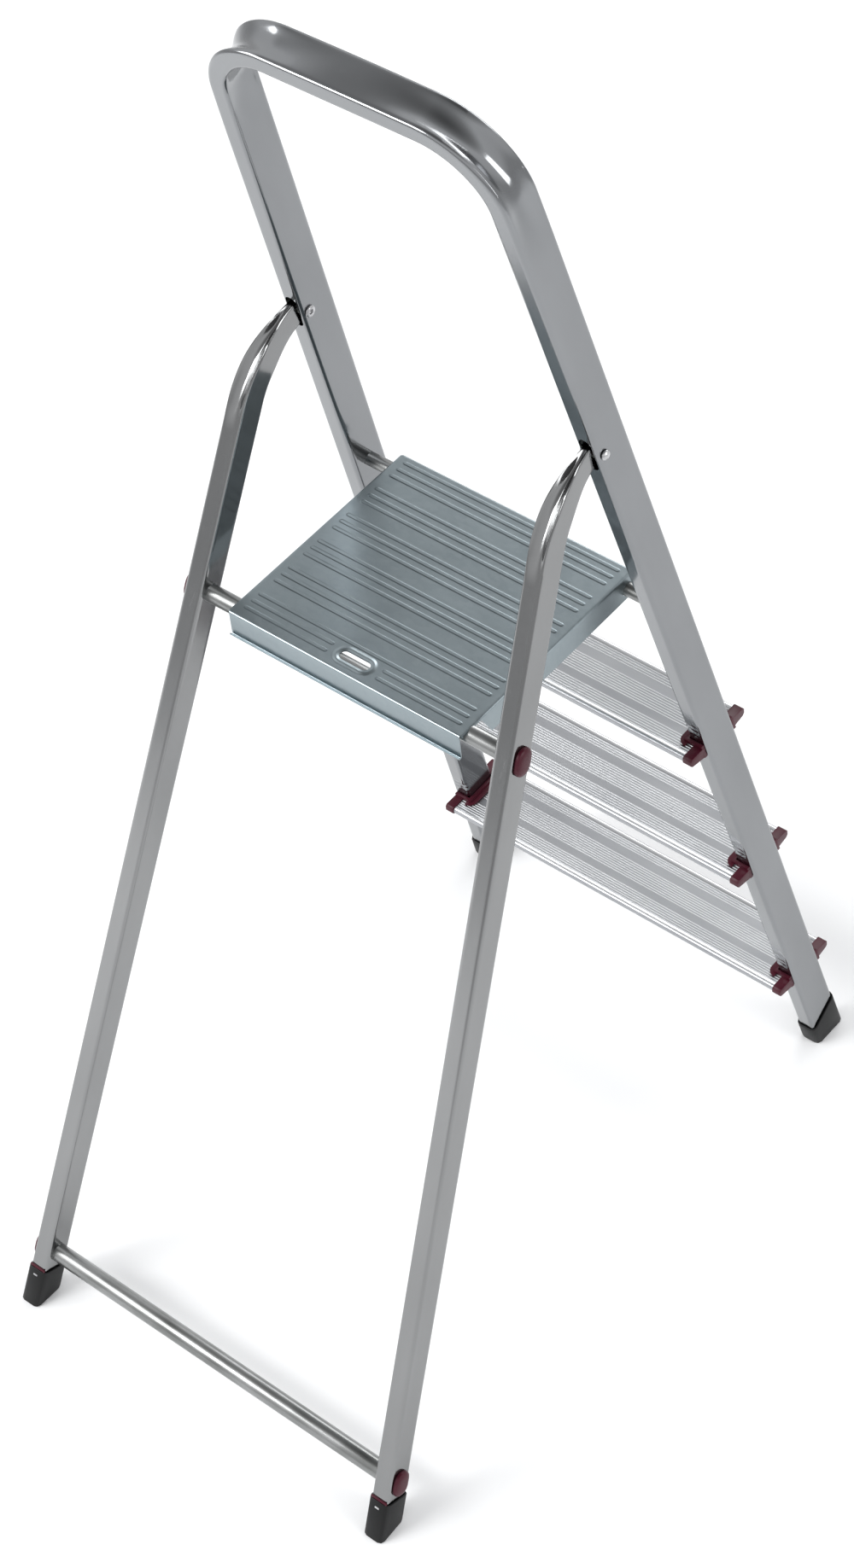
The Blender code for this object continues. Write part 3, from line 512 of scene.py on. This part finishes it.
# ---- treads ----------------------------------------------------------------------------------------
# Three lengths of one extruded aluminium section, left with its mill finish. The deck carries
# three bands of fine grip ribs, with rounded noses front and back, over a shallow box.
TREAD_DEPTH = 0.083
TREAD_NOSE = 0.009
NOSE_ROUND = 0.004
TREAD_HEIGHT = 0.024
TREAD_BOX = 0.048
RIB_PITCH = 0.0029
RIB_RISE = 0.0006
RIB_BANDS = ((0.0068, 6), (0.0322, 8), (0.0650, 4))


def stile_y(height):
    setback = PIVOT_SETBACK / math.cos(FRONT_LEAN)
    return PIVOT.y - setback + (height - PIVOT.z) * math.tan(FRONT_LEAN)


def stile_half_span(height):
    return PIVOT_HALF_SPAN + (PIVOT.z - height) / math.cos(FRONT_LEAN) * math.tan(FLARE)


def tread_section():
    """Outline of the extrusion as (y, z), from the middle of the deck between its ribs."""
    edge = TREAD_DEPTH / 2
    box = TREAD_BOX / 2
    lower = [(-box, -TREAD_NOSE), (-box, -TREAD_HEIGHT), (box, -TREAD_HEIGHT), (box, -TREAD_NOSE)]
    points = []
    for (y0, z0), (y1, z1) in zip(lower, lower[1:]):
        points += [(y0 + (y1 - y0) * n / 4, z0 + (z1 - z0) * n / 4) for n in range(4)]
    points.append(lower[-1])
    deck = -RIB_RISE
    for centre, start in ((NOSE_ROUND - TREAD_NOSE, -90), (-NOSE_ROUND, 0)):
        for step in range(9):
            angle = math.radians(start + 90 * step / 8)
            across = edge - NOSE_ROUND * (1 - math.cos(angle))
            points.append((across, centre + NOSE_ROUND * math.sin(angle)))
    for start, count in RIB_BANDS:
        for rib in range(count):
            base = edge - start - rib * RIB_PITCH
            for share, rise in ((0.0, 0.0), (0.12, 0.75), (0.25, 1.0), (0.38, 0.75), (0.5, 0.0)):
                points.append((base - share * RIB_PITCH, deck + RIB_RISE * rise))
    for centre, start in ((-NOSE_ROUND, 90), (NOSE_ROUND - TREAD_NOSE, 180)):
        for step in range(9):
            angle = math.radians(start + 90 * step / 8)
            across = edge - NOSE_ROUND * (1 + math.cos(angle))
            points.append((-across, centre + NOSE_ROUND * math.sin(angle)))
    return points


def draw_profile(name, outline, start, end):
    """A solid length of an extruded section, from one X to another."""
    bpy.ops.object.select_all(action="DESELECT")
    bpy.ops.mesh.primitive_circle_add(vertices=len(outline), radius=0.01, fill_type="NGON")
    piece = bpy.context.object
    piece.name = name
    for vertex, (y, z) in zip(piece.data.vertices, outline):
        vertex.co = (start, y, z)
    bpy.ops.object.mode_set(mode="EDIT")
    bpy.ops.mesh.select_all(action="SELECT")
    bpy.ops.mesh.extrude_region_move(TRANSFORM_OT_translate={"value": (end - start, 0.0, 0.0)})
    bpy.ops.mesh.select_all(action="SELECT")
    bpy.ops.mesh.normals_make_consistent(inside=False)
    bpy.ops.object.mode_set(mode="OBJECT")
    return piece


def extruded_aluminium():
    """Mill-finish extrusion: fine die lines along X, a grey bloom, small bright knocks and a painted
    highlight on the rib tips.
    """
    colour = (0.43, 0.44, 0.455)
    finish = Finish("mill_finish_extrusion", colour, 0.26, 1.0)
    place = finish.place()
    lines = finish.noise(finish.stretched(place, (4.0, 1400.0, 1400.0)), 1.0, detail=2.0)
    bloom = finish.noise(finish.stretched(place, (12.0, 30.0, 30.0)), 1.0, detail=5.0)
    knocks = finish.spread(finish.noise(place, 240.0, detail=5.0, roughness=0.7), 0.66, 0.74)
    tone = finish.mix(finish.spread(bloom, 0.3, 0.7), (0.385, 0.395, 0.415), colour)
    # The rib tips are painted almost white: a painted highlight along the crests of the grip ribs.
    rib_crest_highlight = finish.attribute("rib_crest_highlight", output=2)
    tone = finish.mix(rib_crest_highlight, tone, (0.80, 0.81, 0.82))
    finish.set(
        Base_Color=finish.mix(0.25 * knocks, tone, (0.66, 0.66, 0.66)),
        Roughness=0.25 + 0.10 * bloom + 0.08 * lines - 0.06 * knocks,
    )
    finish.bump(0.4 * lines + 0.3 * knocks, 0.05, 0.0001)
    return finish


def mark_rib_crest_highlights(board, height):
    """Marks the tips of the grip ribs, where the colour carries a painted highlight."""
    attribute = board.data.attributes.new("rib_crest_highlight", "FLOAT", "POINT")
    for item, vertex in zip(attribute.data, board.data.vertices):
        item.value = smooth((vertex.co.z - height + RIB_RISE) / RIB_RISE)


tread_metal = extruded_aluminium()
outline = tread_section()
for number in (1, 2, 3):
    height = PLATFORM_TOP - number * STEP_RISE
    half = stile_half_span(height) - STILE_WIDTH / 2 + 0.0064
    middle = stile_y(height)
    board = draw_profile(
        f"tread_board_{number}", [(y + middle, z + height) for y, z in outline], -half, half
    )
    mark_rib_crest_highlights(board, height)
    soften(board, 28.0)
    dress(board, tread_metal)
    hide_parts(f"tread_{number}")
    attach(board, "stiles_and_treads")


# ---- tread brackets ------------------------------------------------------------------------------
# Moulded end pieces in burgundy plastic, pressed round the stile and over the tread's noses. Each
# corner is softened where the mould is rounded.
def softened_copy(name, node_name, width, segments=2, angle=28.0):
    """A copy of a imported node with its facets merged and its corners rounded."""
    bpy.ops.object.select_all(action="DESELECT")
    bpy.ops.mesh.primitive_plane_add(size=0.01)
    piece = bpy.context.object
    piece.name = name
    piece.data = frame["nodes"][node_name].data.copy()
    bpy.ops.object.mode_set(mode="EDIT")
    bpy.ops.mesh.select_all(action="SELECT")
    bpy.ops.mesh.remove_doubles(threshold=0.00001)
    bpy.ops.mesh.dissolve_limited(angle_limit=math.radians(1.0))
    bpy.ops.object.mode_set(mode="OBJECT")
    settings = {"limit_method": "ANGLE", "angle_limit": math.radians(angle)}
    apply_modifier(piece, "BEVEL", width=width, segments=segments, **settings)
    soften(piece, 50.0)
    return piece


def moulded_plastic(name, colour, roughness, grain):
    """Satin moulding: a fine spark-eroded grain, faint flow marks and scuffed high spots."""
    finish = Finish(name, colour, roughness)
    place = finish.place()
    eroded = finish.noise(place, grain, detail=3.0, roughness=0.6)
    flow = finish.noise(finish.stretched(place, (30.0, 30.0, 60.0)), 1.0, detail=4.0)
    scuffs = finish.spread(finish.noise(place, 420.0, detail=6.0, roughness=0.75), 0.64, 0.74)
    lighter = tuple(value * 1.7 + 0.004 for value in colour)
    tone = finish.mix(finish.spread(flow, 0.35, 0.7), colour, tuple(value * 1.25 for value in colour))
    finish.set(
        Base_Color=finish.mix(0.35 * scuffs, tone, lighter),
        Roughness=roughness - 0.05 + 0.10 * flow + 0.12 * scuffs,
    )
    finish.bump(eroded, 0.25, 0.00012)
    finish.set(Specular_IOR_Level=0.3)
    return finish


burgundy = moulded_plastic("burgundy_moulding", (0.050, 0.0022, 0.010), 0.40, 1500.0)
for number in (1, 2, 3):
    for side in ("left", "right"):
        node_name = f"tread_{number}_bracket_{side}"
        bracket = softened_copy(f"moulded_bracket_{number}_{side}", node_name, 0.0006)
        dress(bracket, burgundy)
        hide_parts(node_name)
        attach(bracket, "stiles_and_treads")


# ---- front feet ------------------------------------------------------------------------------------
# Black moulded sleeves pushed over the stiles' lower ends, cut level at the floor.
black = moulded_plastic("black_moulding", (0.0025, 0.0027, 0.003), 0.44, 1100.0)


def fit_foot(name, node_name, body):
    foot = softened_copy(name, node_name, 0.0008, segments=3)
    dress(foot, black)
    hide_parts(node_name)
    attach(foot, body)


for side in ("left", "right"):
    fit_foot(f"front_foot_sleeve_{side}", f"front_foot_{side}", "stiles_and_treads")


# ---- pivot rivets and washers ------------------------------------------------------------------------
# Steel rivets with low domed heads hold the legs' flattened ends between two nylon washers.
def lower_head(co):
    """Draws the outer head in to the size of a plain 4 mm rivet's."""
    if abs(co.x) < PIVOT_HALF_SPAN:
        return co
    share = 0.76
    return Vector((co.x, PIVOT.y + (co.y - PIVOT.y) * share, PIVOT.z + (co.z - PIVOT.z) * share))


def worked_steel():
    finish = Finish("plated_rivet_steel", (0.55, 0.55, 0.56), 0.28, 1.0)
    place = finish.place()
    pits = finish.noise(place, 900.0, detail=5.0, roughness=0.7)
    bloom = finish.noise(place, 160.0, detail=3.0)
    finish.set(
        Base_Color=finish.mix(finish.spread(bloom, 0.35, 0.65), (0.40, 0.40, 0.41), (0.62, 0.62, 0.63)),
        Roughness=0.22 + 0.16 * bloom + 0.06 * pits,
    )
    finish.bump(pits, 0.2, 0.0001)
    return finish


def turned_nylon():
    finish = Finish("natural_nylon", (0.74, 0.73, 0.69), 0.5)
    place = finish.place()
    turning = finish.noise(finish.stretched(place, (90.0, 1400.0, 1400.0)), 1.0, detail=3.0)
    tint = finish.spread(finish.noise(place, 220.0), 0.3, 0.7)
    finish.set(
        Base_Color=finish.mix(tint, (0.66, 0.64, 0.58), (0.78, 0.77, 0.73)),
        Roughness=0.42 + 0.14 * turning,
        Subsurface_Weight=0.1,
    )
    finish.bump(turning, 0.15, 0.0001)
    return finish


rivet_steel = worked_steel()
nylon = turned_nylon()
for side in ("left", "right"):
    rivet = softened_copy(f"domed_rivet_{side}", f"pivot_rivet_{side}", 0.0003)
    reshape(rivet, lower_head)
    dress(rivet, rivet_steel)
    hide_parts(f"pivot_rivet_{side}")
    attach(rivet, "stiles_and_treads")
    for place in ("inner", "outer"):
        dress(frame["nodes"][f"pivot_washer_{side}_{place}"], nylon)


# ---- platform pivot tube -----------------------------------------------------------------------------
# A zinc-plated steel tube across the stiles; the platform turns on it.
def zinc_plate():
    """Plated tube: soft lengthwise polish lines with a clouded, slightly yellow bloom."""
    finish = Finish("zinc_plated_steel", (0.50, 0.505, 0.50), 0.26, 1.0)
    place = finish.place()
    lines = finish.noise(finish.stretched(place, (5.0, 700.0, 700.0)), 1.0, detail=3.0)
    bloom = finish.noise(finish.stretched(place, (22.0, 60.0, 60.0)), 1.0, detail=5.0)
    specks = finish.spread(finish.noise(place, 620.0, detail=4.0, roughness=0.7), 0.66, 0.74)
    tone = finish.mix(finish.spread(bloom, 0.3, 0.7), (0.20, 0.205, 0.20), (0.34, 0.345, 0.345))
    finish.set(
        Base_Color=finish.mix(0.5 * specks, tone, (0.12, 0.12, 0.115)),
        Roughness=0.20 + 0.14 * bloom + 0.08 * lines,
    )
    finish.bump(lines + 0.4 * bloom, 0.12, 0.0001)
    return finish


zinc = zinc_plate()


def round_tube(name, node_name, wall=0.0012):
    """A smooth tube with rolled-over ends in the place of a packed one."""
    low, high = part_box(node_name)
    low, high = Vector(low), Vector(high)
    centre = (low + high) / 2
    radius = (high.z - low.z) / 2
    bpy.ops.object.select_all(action="DESELECT")
    bpy.ops.mesh.primitive_cylinder_add(
        vertices=64, radius=radius, depth=high.x - low.x, end_fill_type="NOTHING",
        location=centre, rotation=(0.0, math.pi / 2, 0.0),
    )
    piece = bpy.context.object
    piece.name = name
    bpy.ops.object.transform_apply(location=True, rotation=True, scale=True)
    apply_modifier(piece, "SOLIDIFY", thickness=wall, offset=-1.0)
    settings = {"limit_method": "ANGLE", "angle_limit": math.radians(60.0)}
    apply_modifier(piece, "BEVEL", width=wall * 0.3, segments=2, **settings)
    soften(piece, 40.0)
    dress(piece, zinc)
    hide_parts(node_name)
    return piece


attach(round_tube("plated_pivot_tube", "platform_pivot_tube"), "stiles_and_treads")


# ---- platform --------------------------------------------------------------------------------------
# A pressed tray of galvanised sheet, folded down all round. Its deck has six groups of three raised
# beads and a hand slot with a raised rim; the rear flange ends in a rolled hem.
AXIS = Vector(frame["joints"][1]["pos_m"])
DECK_HALF = 0.137
DECK_FRONT = AXIS.y - 0.0099
DECK_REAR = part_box("platform")[1][1] - 0.0035
DECK_DROP = 0.0275
SHEET = 0.001
FOLD = 0.0022
BEAD_RISE = 0.00035
BEAD_HALF = 0.0019
BEAD_WALL = 0.0008
BEAD_REACH = 0.127
BEAD_PITCH = 0.0102
GROUP_PITCH = 0.0419
FIRST_BEAD = 0.0135
SLOT_CENTRE = DECK_REAR - 0.0187
GRIP_HALF = 0.017
GRIP_ROUND = 0.0055
NOTCH_EDGE = DECK_REAR - 0.0152 - 0.009 - 0.0045
HEM_RADIUS = 0.00118
HEM_SWEEP = math.pi * 1.15
HEM_TAIL = 0.001
SURFACE_DROP = 0.0010


def fold_over(distance, edge, drop):
    """Out and down from a sheet's flat part, round a fold and down a flange."""
    flat = edge - FOLD
    arc = FOLD * math.pi / 2
    if distance <= flat:
        return distance, 0.0
    if distance <= flat + arc:
        angle = (distance - flat) / FOLD
        return flat + FOLD * math.sin(angle), FOLD * (1 - math.cos(angle))
    return edge, FOLD + (distance - flat - arc)


def grip_distance(x, y):
    """Distance outside the hand slot's edge."""
    over = max(abs(x) - (GRIP_HALF - GRIP_ROUND), 0.0)
    return math.hypot(over, y - SLOT_CENTRE) - GRIP_ROUND


def bead_distance(x, y):
    """Distance inside the nearest bead's edge."""
    inside = -1.0
    for group in range(6):
        for bead in range(3):
            line = DECK_REAR - FIRST_BEAD - group * GROUP_PITCH - bead * BEAD_PITCH
            if abs(y - line) > 3 * BEAD_HALF:
                continue
            past = max(abs(x) - (BEAD_REACH - BEAD_HALF), 0.0)
            if group == 0 and bead < 2:
                past = max(past, (GRIP_HALF + 0.014 - abs(x)))
            inside = max(inside, BEAD_HALF - math.hypot(past, y - line))
    return inside


def deck_rule(co):
    u, v = co.x, co.y
    x, drop_x = fold_over(abs(u), DECK_HALF, DECK_DROP)
    x = math.copysign(x, u)
    middle = (DECK_FRONT + DECK_REAR) / 2
    y, drop_y = fold_over(abs(v - middle), (DECK_REAR - DECK_FRONT) / 2, DECK_DROP)
    y = middle + math.copysign(y, v - middle)
    drop = drop_x + drop_y
    rise = 0.0
    if drop == 0.0:
        ring = grip_distance(x, y)
        rise = BEAD_RISE * smooth(0.5 + bead_distance(x, y) / BEAD_WALL)
        rise = max(rise, 0.0011 * hump(ring - 0.0030, 0.0036))
    if drop_x > FOLD:
        share = (drop_x - FOLD) / (DECK_DROP - FOLD)
        near = smooth((y - NOTCH_EDGE + 0.030) / 0.030)
        y -= 0.013 * share * near
        x += math.copysign(0.0006 * smooth(2 * share) * smooth((y - NOTCH_EDGE + 0.012) / 0.012), u)
    if drop_y > DECK_DROP - HEM_TAIL and v > middle:
        turn = min((drop_y - DECK_DROP + HEM_TAIL) / HEM_RADIUS, HEM_SWEEP)
        drop = DECK_DROP - HEM_TAIL + HEM_RADIUS * math.sin(turn)
        y += HEM_RADIUS * (1 - math.cos(turn))
    return Vector((x, y, PLATFORM_TOP - drop + rise - SURFACE_DROP))


def mark_bead_shade_lines(sheet):
    """Marks the fine dark line that dirt and the press tool leave round each bead."""
    attribute = sheet.data.attributes.new("bead_shade_line", "FLOAT", "POINT")
    # Marks a fine line round each bead, where the sheet is painted darker as shade at the bead's walls.
    for item, vertex in zip(attribute.data, sheet.data.vertices):
        item.value = hump(bead_distance(vertex.co.x, vertex.co.y), 0.00085)


def draw_sheet(name, columns, rows):
    """A flat grid with its lines at the given places."""
    bpy.ops.object.select_all(action="DESELECT")
    bpy.ops.mesh.primitive_grid_add(
        x_subdivisions=len(columns) - 1, y_subdivisions=len(rows) - 1, size=1.0
    )
    piece = bpy.context.object
    piece.name = name
    for vertex in piece.data.vertices:
        column = round((vertex.co.x + 0.5) * (len(columns) - 1))
        row = round((vertex.co.y + 0.5) * (len(rows) - 1))
        vertex.co = (columns[column], rows[row], 0.0)
    return piece


def mirrored(places):
    return [-place for place in reversed(places) if place > 0.0] + places


def deck_columns():
    arc = FOLD * math.pi / 2
    flat = DECK_HALF - FOLD
    half = spaced(0.0, 0.035, 0.0010) + spaced(0.035, 0.121, 0.008)
    half += spaced(0.121, 0.1298, 0.0008) + spaced(0.1298, flat, 0.0018)
    half += spaced(flat, flat + arc, arc / 5) + spaced(flat + arc, flat + arc + DECK_DROP - FOLD, 0.005)
    return mirrored(half + [flat + arc + DECK_DROP - FOLD])


def deck_rows():
    arc = FOLD * math.pi / 2
    flange = DECK_DROP - FOLD
    front, rear = DECK_FRONT + FOLD, DECK_REAR - FOLD
    hem_start = rear + arc + flange - HEM_TAIL
    hem = HEM_SWEEP * HEM_RADIUS
    rows = spaced(front - arc - flange, front - arc, 0.006) + spaced(front - arc, front, arc / 5)
    rows += spaced(front, rear, 0.00042) + spaced(rear, rear + arc, arc / 5)
    rows += spaced(rear + arc, hem_start, 0.006)
    rows += spaced(hem_start, hem_start + hem, hem / 8)
    return rows + [hem_start + hem]


def delete_faces(piece, unwanted):
    """Deletes the faces whose centre passes a test."""
    bpy.ops.object.select_all(action="DESELECT")
    piece.select_set(True)
    bpy.context.view_layer.objects.active = piece
    for item in list(piece.data.vertices) + list(piece.data.edges):
        item.select = False
    for face in piece.data.polygons:
        face.select = unwanted(face.center)
    bpy.ops.object.mode_set(mode="EDIT")
    bpy.ops.mesh.select_mode(type="FACE")
    bpy.ops.mesh.delete(type="FACE")
    bpy.ops.mesh.select_mode(type="VERT")
    bpy.ops.object.mode_set(mode="OBJECT")


def beyond_the_blank(centre):
    """The corners of the blank, and the ends of the side flanges beside the rear tube."""
    past_side = abs(centre.x) > DECK_HALF - FOLD
    past_end = centre.y > DECK_REAR - FOLD or centre.y < DECK_FRONT + FOLD
    down_side = abs(centre.x) > DECK_HALF + FOLD
    return (past_side and past_end) or (down_side and centre.y > NOTCH_EDGE)


def round_cutter(name, centre, radius, length):
    bpy.ops.object.select_all(action="DESELECT")
    bpy.ops.mesh.primitive_cylinder_add(
        vertices=48, radius=radius, depth=length, location=centre, rotation=(0.0, math.pi / 2, 0.0)
    )
    piece = bpy.context.object
    piece.name = name
    bpy.ops.object.transform_apply(location=True, rotation=True, scale=True)
    return piece


def galvanised_sheet():
    """Galvanised steel: pale blue-grey spangle, rolling lines, a dusty bloom and a painted shade line
    round each bead.
    """
    finish = Finish("galvanised_sheet_steel", (0.29, 0.335, 0.355), 0.26, 1.0)
    place = finish.place()
    spangle = finish.node(
        "ShaderNodeTexVoronoi", {"feature": "F1"}, Vector=finish.stretched(place, (1.0, 1.6, 1.0)),
        Scale=150.0, output=1,
    )
    facet = finish.node("ShaderNodeSeparateColor", {}, spangle)
    bloom = finish.noise(finish.stretched(place, (14.0, 9.0, 14.0)), 1.0, detail=6.0, roughness=0.6)
    rolled = finish.noise(finish.stretched(place, (6.0, 900.0, 900.0)), 1.0, detail=2.0)
    specks = finish.spread(finish.noise(place, 500.0, detail=5.0, roughness=0.75), 0.65, 0.75)
    tone = finish.mix(finish.spread(bloom, 0.32, 0.68), (0.265, 0.31, 0.33), (0.30, 0.35, 0.372))
    lit = finish.mix(0.10 * facet, tone, (0.46, 0.50, 0.52))
    # A dark line is painted round each bead: painted shade where the bead's walls meet the deck.
    lit = finish.mix(0.75 * finish.attribute("bead_shade_line", output=2), lit, (0.10, 0.12, 0.13))
    finish.set(
        Base_Color=finish.mix(0.14 * specks, lit, (0.20, 0.23, 0.25)),
        Roughness=0.24 + 0.14 * bloom + 0.04 * facet,
    )
    finish.bump(0.2 * facet + 0.5 * rolled, 0.04, 0.0001)
    return finish


def flange_eyelet(side):
    """A rolled eyelet in the side flange, where the tray was held in the press."""
    centre = Vector((side * (DECK_HALF + 0.0001), DECK_REAR - 0.088, PLATFORM_TOP - 0.0165))
    bpy.ops.object.select_all(action="DESELECT")
    bpy.ops.mesh.primitive_torus_add(
        major_segments=40, minor_segments=12, major_radius=0.0034, minor_radius=0.0009,
        location=centre, rotation=(0.0, math.pi / 2, 0.0),
    )
    eyelet = bpy.context.object
    bpy.ops.object.transform_apply(location=True, rotation=True, scale=True)
    hole = round_cutter("eyelet_cutter", centre, 0.0030, 0.006)
    return eyelet, hole


platform_sheet = draw_sheet("platform_tray", deck_columns(), deck_rows())
mark_bead_shade_lines(platform_sheet)
delete_faces(platform_sheet, beyond_the_blank)
reshape(platform_sheet, deck_rule)
face_outwards(platform_sheet)
apply_modifier(platform_sheet, "SOLIDIFY", thickness=SHEET, offset=-1.0)
grip = obround_bar("grip_cutter", 2 * GRIP_ROUND, 2 * GRIP_HALF, 0.02)
put(grip, Vector((0.0, SLOT_CENTRE, PLATFORM_TOP)), Vector((0, 1, 0)), ACROSS, Vector((0, 0, -1)))
carve(platform_sheet, grip, round_cutter("pivot_cutter", AXIS, 0.0073, 0.4))
eyelets = []
for side in (1.0, -1.0):
    eyelet, hole = flange_eyelet(side)
    carve(platform_sheet, hole)
    eyelets.append(eyelet)
bpy.ops.object.select_all(action="DESELECT")
for item in eyelets + [platform_sheet]:
    item.select_set(True)
bpy.context.view_layer.objects.active = platform_sheet
bpy.ops.object.join()
soften(platform_sheet, 35.0)
galvanised = galvanised_sheet()
dress(platform_sheet, galvanised)
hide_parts("platform")
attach(platform_sheet, "standing_platform")


# ---- rear legs -----------------------------------------------------------------------------------
# Two 30 x 20 mm aluminium tubes, bent forward at the top and pressed flat, so that the rear wall
# folds in between two ridges that run together at the pivot.
REAR_LEAN = math.radians(23.9)
LEG_DOWN = Vector((0.0, math.sin(REAR_LEAN), -math.cos(REAR_LEAN)))
LEG_BACK = Vector((0.0, math.cos(REAR_LEAN), math.sin(REAR_LEAN)))
LEG_OFFSET = 0.050
LEG_REACH = 0.083
LEG_WIDTH = 0.020
LEG_DEPTH = 0.030
TONGUE = (0.008, 0.026)
LEG_TURN = 2 * math.atan(LEG_OFFSET / LEG_REACH)
LEG_ARC = LEG_REACH / math.sin(LEG_TURN)
LEG_ARC_LENGTH = LEG_ARC * LEG_TURN
LEG_FOOT = LEG_ARC_LENGTH + (PIVOT.z - 0.012) / math.cos(REAR_LEAN) - LEG_REACH


def leg_stations():
    rows = spaced(-0.0128, 0.0, 0.0016) + spaced(0.0, LEG_ARC_LENGTH + 0.03, 0.0022)
    return rows + spaced(LEG_ARC_LENGTH + 0.03, LEG_FOOT, 0.03) + [LEG_FOOT]


def leg_rule(side):
    """Where a point of the straight tube goes. Its Z is the distance below the pivot."""
    def rule(co):
        a, b, s = co.x, co.y, co.z
        share = 1 - min(max(s, 0.0) / LEG_ARC_LENGTH, 1.0)
        squash = smooth((share - 0.30) / 0.66)
        width = 1 + (TONGUE[0] / LEG_WIDTH - 1) * squash
        depth = 1 + (TONGUE[1] / LEG_DEPTH - 1) * smooth(share)
        rear = smooth(0.5 + b / LEG_DEPTH)
        folded = smooth((LEG_ARC_LENGTH + 0.030 - s) / 0.055) * smooth((s + 0.004) / 0.040)
        narrow = 0.0092 - 0.0014 * squash
        trough = max(0.0, 1 - (a / narrow) ** 2) ** 1.2
        b -= rear * folded * (0.0072 * trough)
        a *= width
        b *= depth
        if s < 0.0:
            b *= math.sqrt(max(1 - (s / 0.0130) ** 2, 0.02))
        turn = LEG_TURN * share
        along = LEG_REACH - LEG_ARC * math.sin(turn) + max(s - LEG_ARC_LENGTH, 0.0)
        offset = LEG_OFFSET - LEG_ARC * (1 - math.cos(turn))
        if s < 0.0:
            along += s * math.cos(LEG_TURN)
            offset += s * math.sin(LEG_TURN)
        back = LEG_BACK * math.cos(turn) - LEG_DOWN * math.sin(turn)
        spread = PIVOT_HALF_SPAN + max(along, 0.0) * math.tan(FLARE)
        centre = PIVOT + LEG_DOWN * along + LEG_BACK * offset + ACROSS * side * spread
        return centre + ACROSS * a + back * b
    return rule


leg_metal = drawn_aluminium("leg_drawn_aluminium", (0.285, 0.288, 0.290), 0.13, stock_vector)
for side, word in ((1.0, "right"), (-1.0, "left")):
    leg = draw_tube(f"bent_leg_{word}", (LEG_WIDTH, LEG_DEPTH), 0.003, (9, 9), leg_stations())
    keep_stock_places(leg)
    reshape(leg, leg_rule(side))
    face_outwards(leg)
    apply_modifier(leg, "SOLIDIFY", thickness=0.0012, offset=-1.0)
    soften(leg)
    dress(leg, leg_metal)
    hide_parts(f"rear_leg_{word}")
    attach(leg, "rear_frame")


# ---- rear cross tubes and their caps -----------------------------------------------------------------
# Zinc-plated tubes through both legs. Burgundy caps are pushed into their ends.
for place in ("upper", "lower"):
    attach(round_tube(f"plated_{place}_tube", f"{place}_rear_tube"), "rear_frame")
    for side in ("left", "right"):
        node_name = f"{place}_tube_cap_{side}"
        cap = softened_copy(f"domed_cap_{place}_{side}", node_name, 0.0005)
        dress(cap, burgundy)
        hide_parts(node_name)
        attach(cap, "rear_frame")


# ---- rear feet ---------------------------------------------------------------------------------------
# Black moulded sleeves like the front ones, with rims square to the legs.
def leg_place(side, height, a, b):
    """A place on a leg, given across it and behind it, level with a height on its centre line."""
    along = (PIVOT.z - height + LEG_OFFSET * math.sin(REAR_LEAN)) / math.cos(REAR_LEAN)
    spread = side * (PIVOT_HALF_SPAN + along * math.tan(FLARE))
    return PIVOT + LEG_DOWN * along + LEG_BACK * (LEG_OFFSET + b) + ACROSS * (spread + a)


def plate_on_leg(name, side, height, size, lift):
    """A thin plate with soft edges, lying on the leg's rear side."""
    bpy.ops.object.select_all(action="DESELECT")
    bpy.ops.mesh.primitive_cube_add(size=1.0)
    piece = bpy.context.object
    piece.name = name
    piece.scale = (size[0], size[1], size[2])
    bpy.ops.object.transform_apply(location=False, rotation=False, scale=True)
    apply_modifier(piece, "BEVEL", width=min(size) * 0.3, segments=2)
    tip = (LEG_DOWN + ACROSS * side * math.tan(FLARE)).normalized()
    put(piece, leg_place(side, height, 0.0, LEG_DEPTH / 2 + lift), ACROSS, -tip, LEG_BACK)
    soften(piece)
    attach(piece, "rear_frame")
    return piece


for side, word in ((-1.0, "left"), (1.0, "right")):
    fit_foot(f"rear_foot_sleeve_{word}", f"rear_foot_{word}", "rear_frame")
    # A thin burgundy strip lies on the leg's rear side along the foot's rim.
    rim_strip = plate_on_leg(f"foot_rim_strip_{word}", side, 0.0372, (0.0196, 0.0030, 0.0014), 0.0006)
    dress(rim_strip, burgundy)
    latch = plate_on_leg(f"foot_latch_{word}", side, 0.0290, (0.0052, 0.0022, 0.0012), 0.0020)
    dress(latch, rivet_steel)
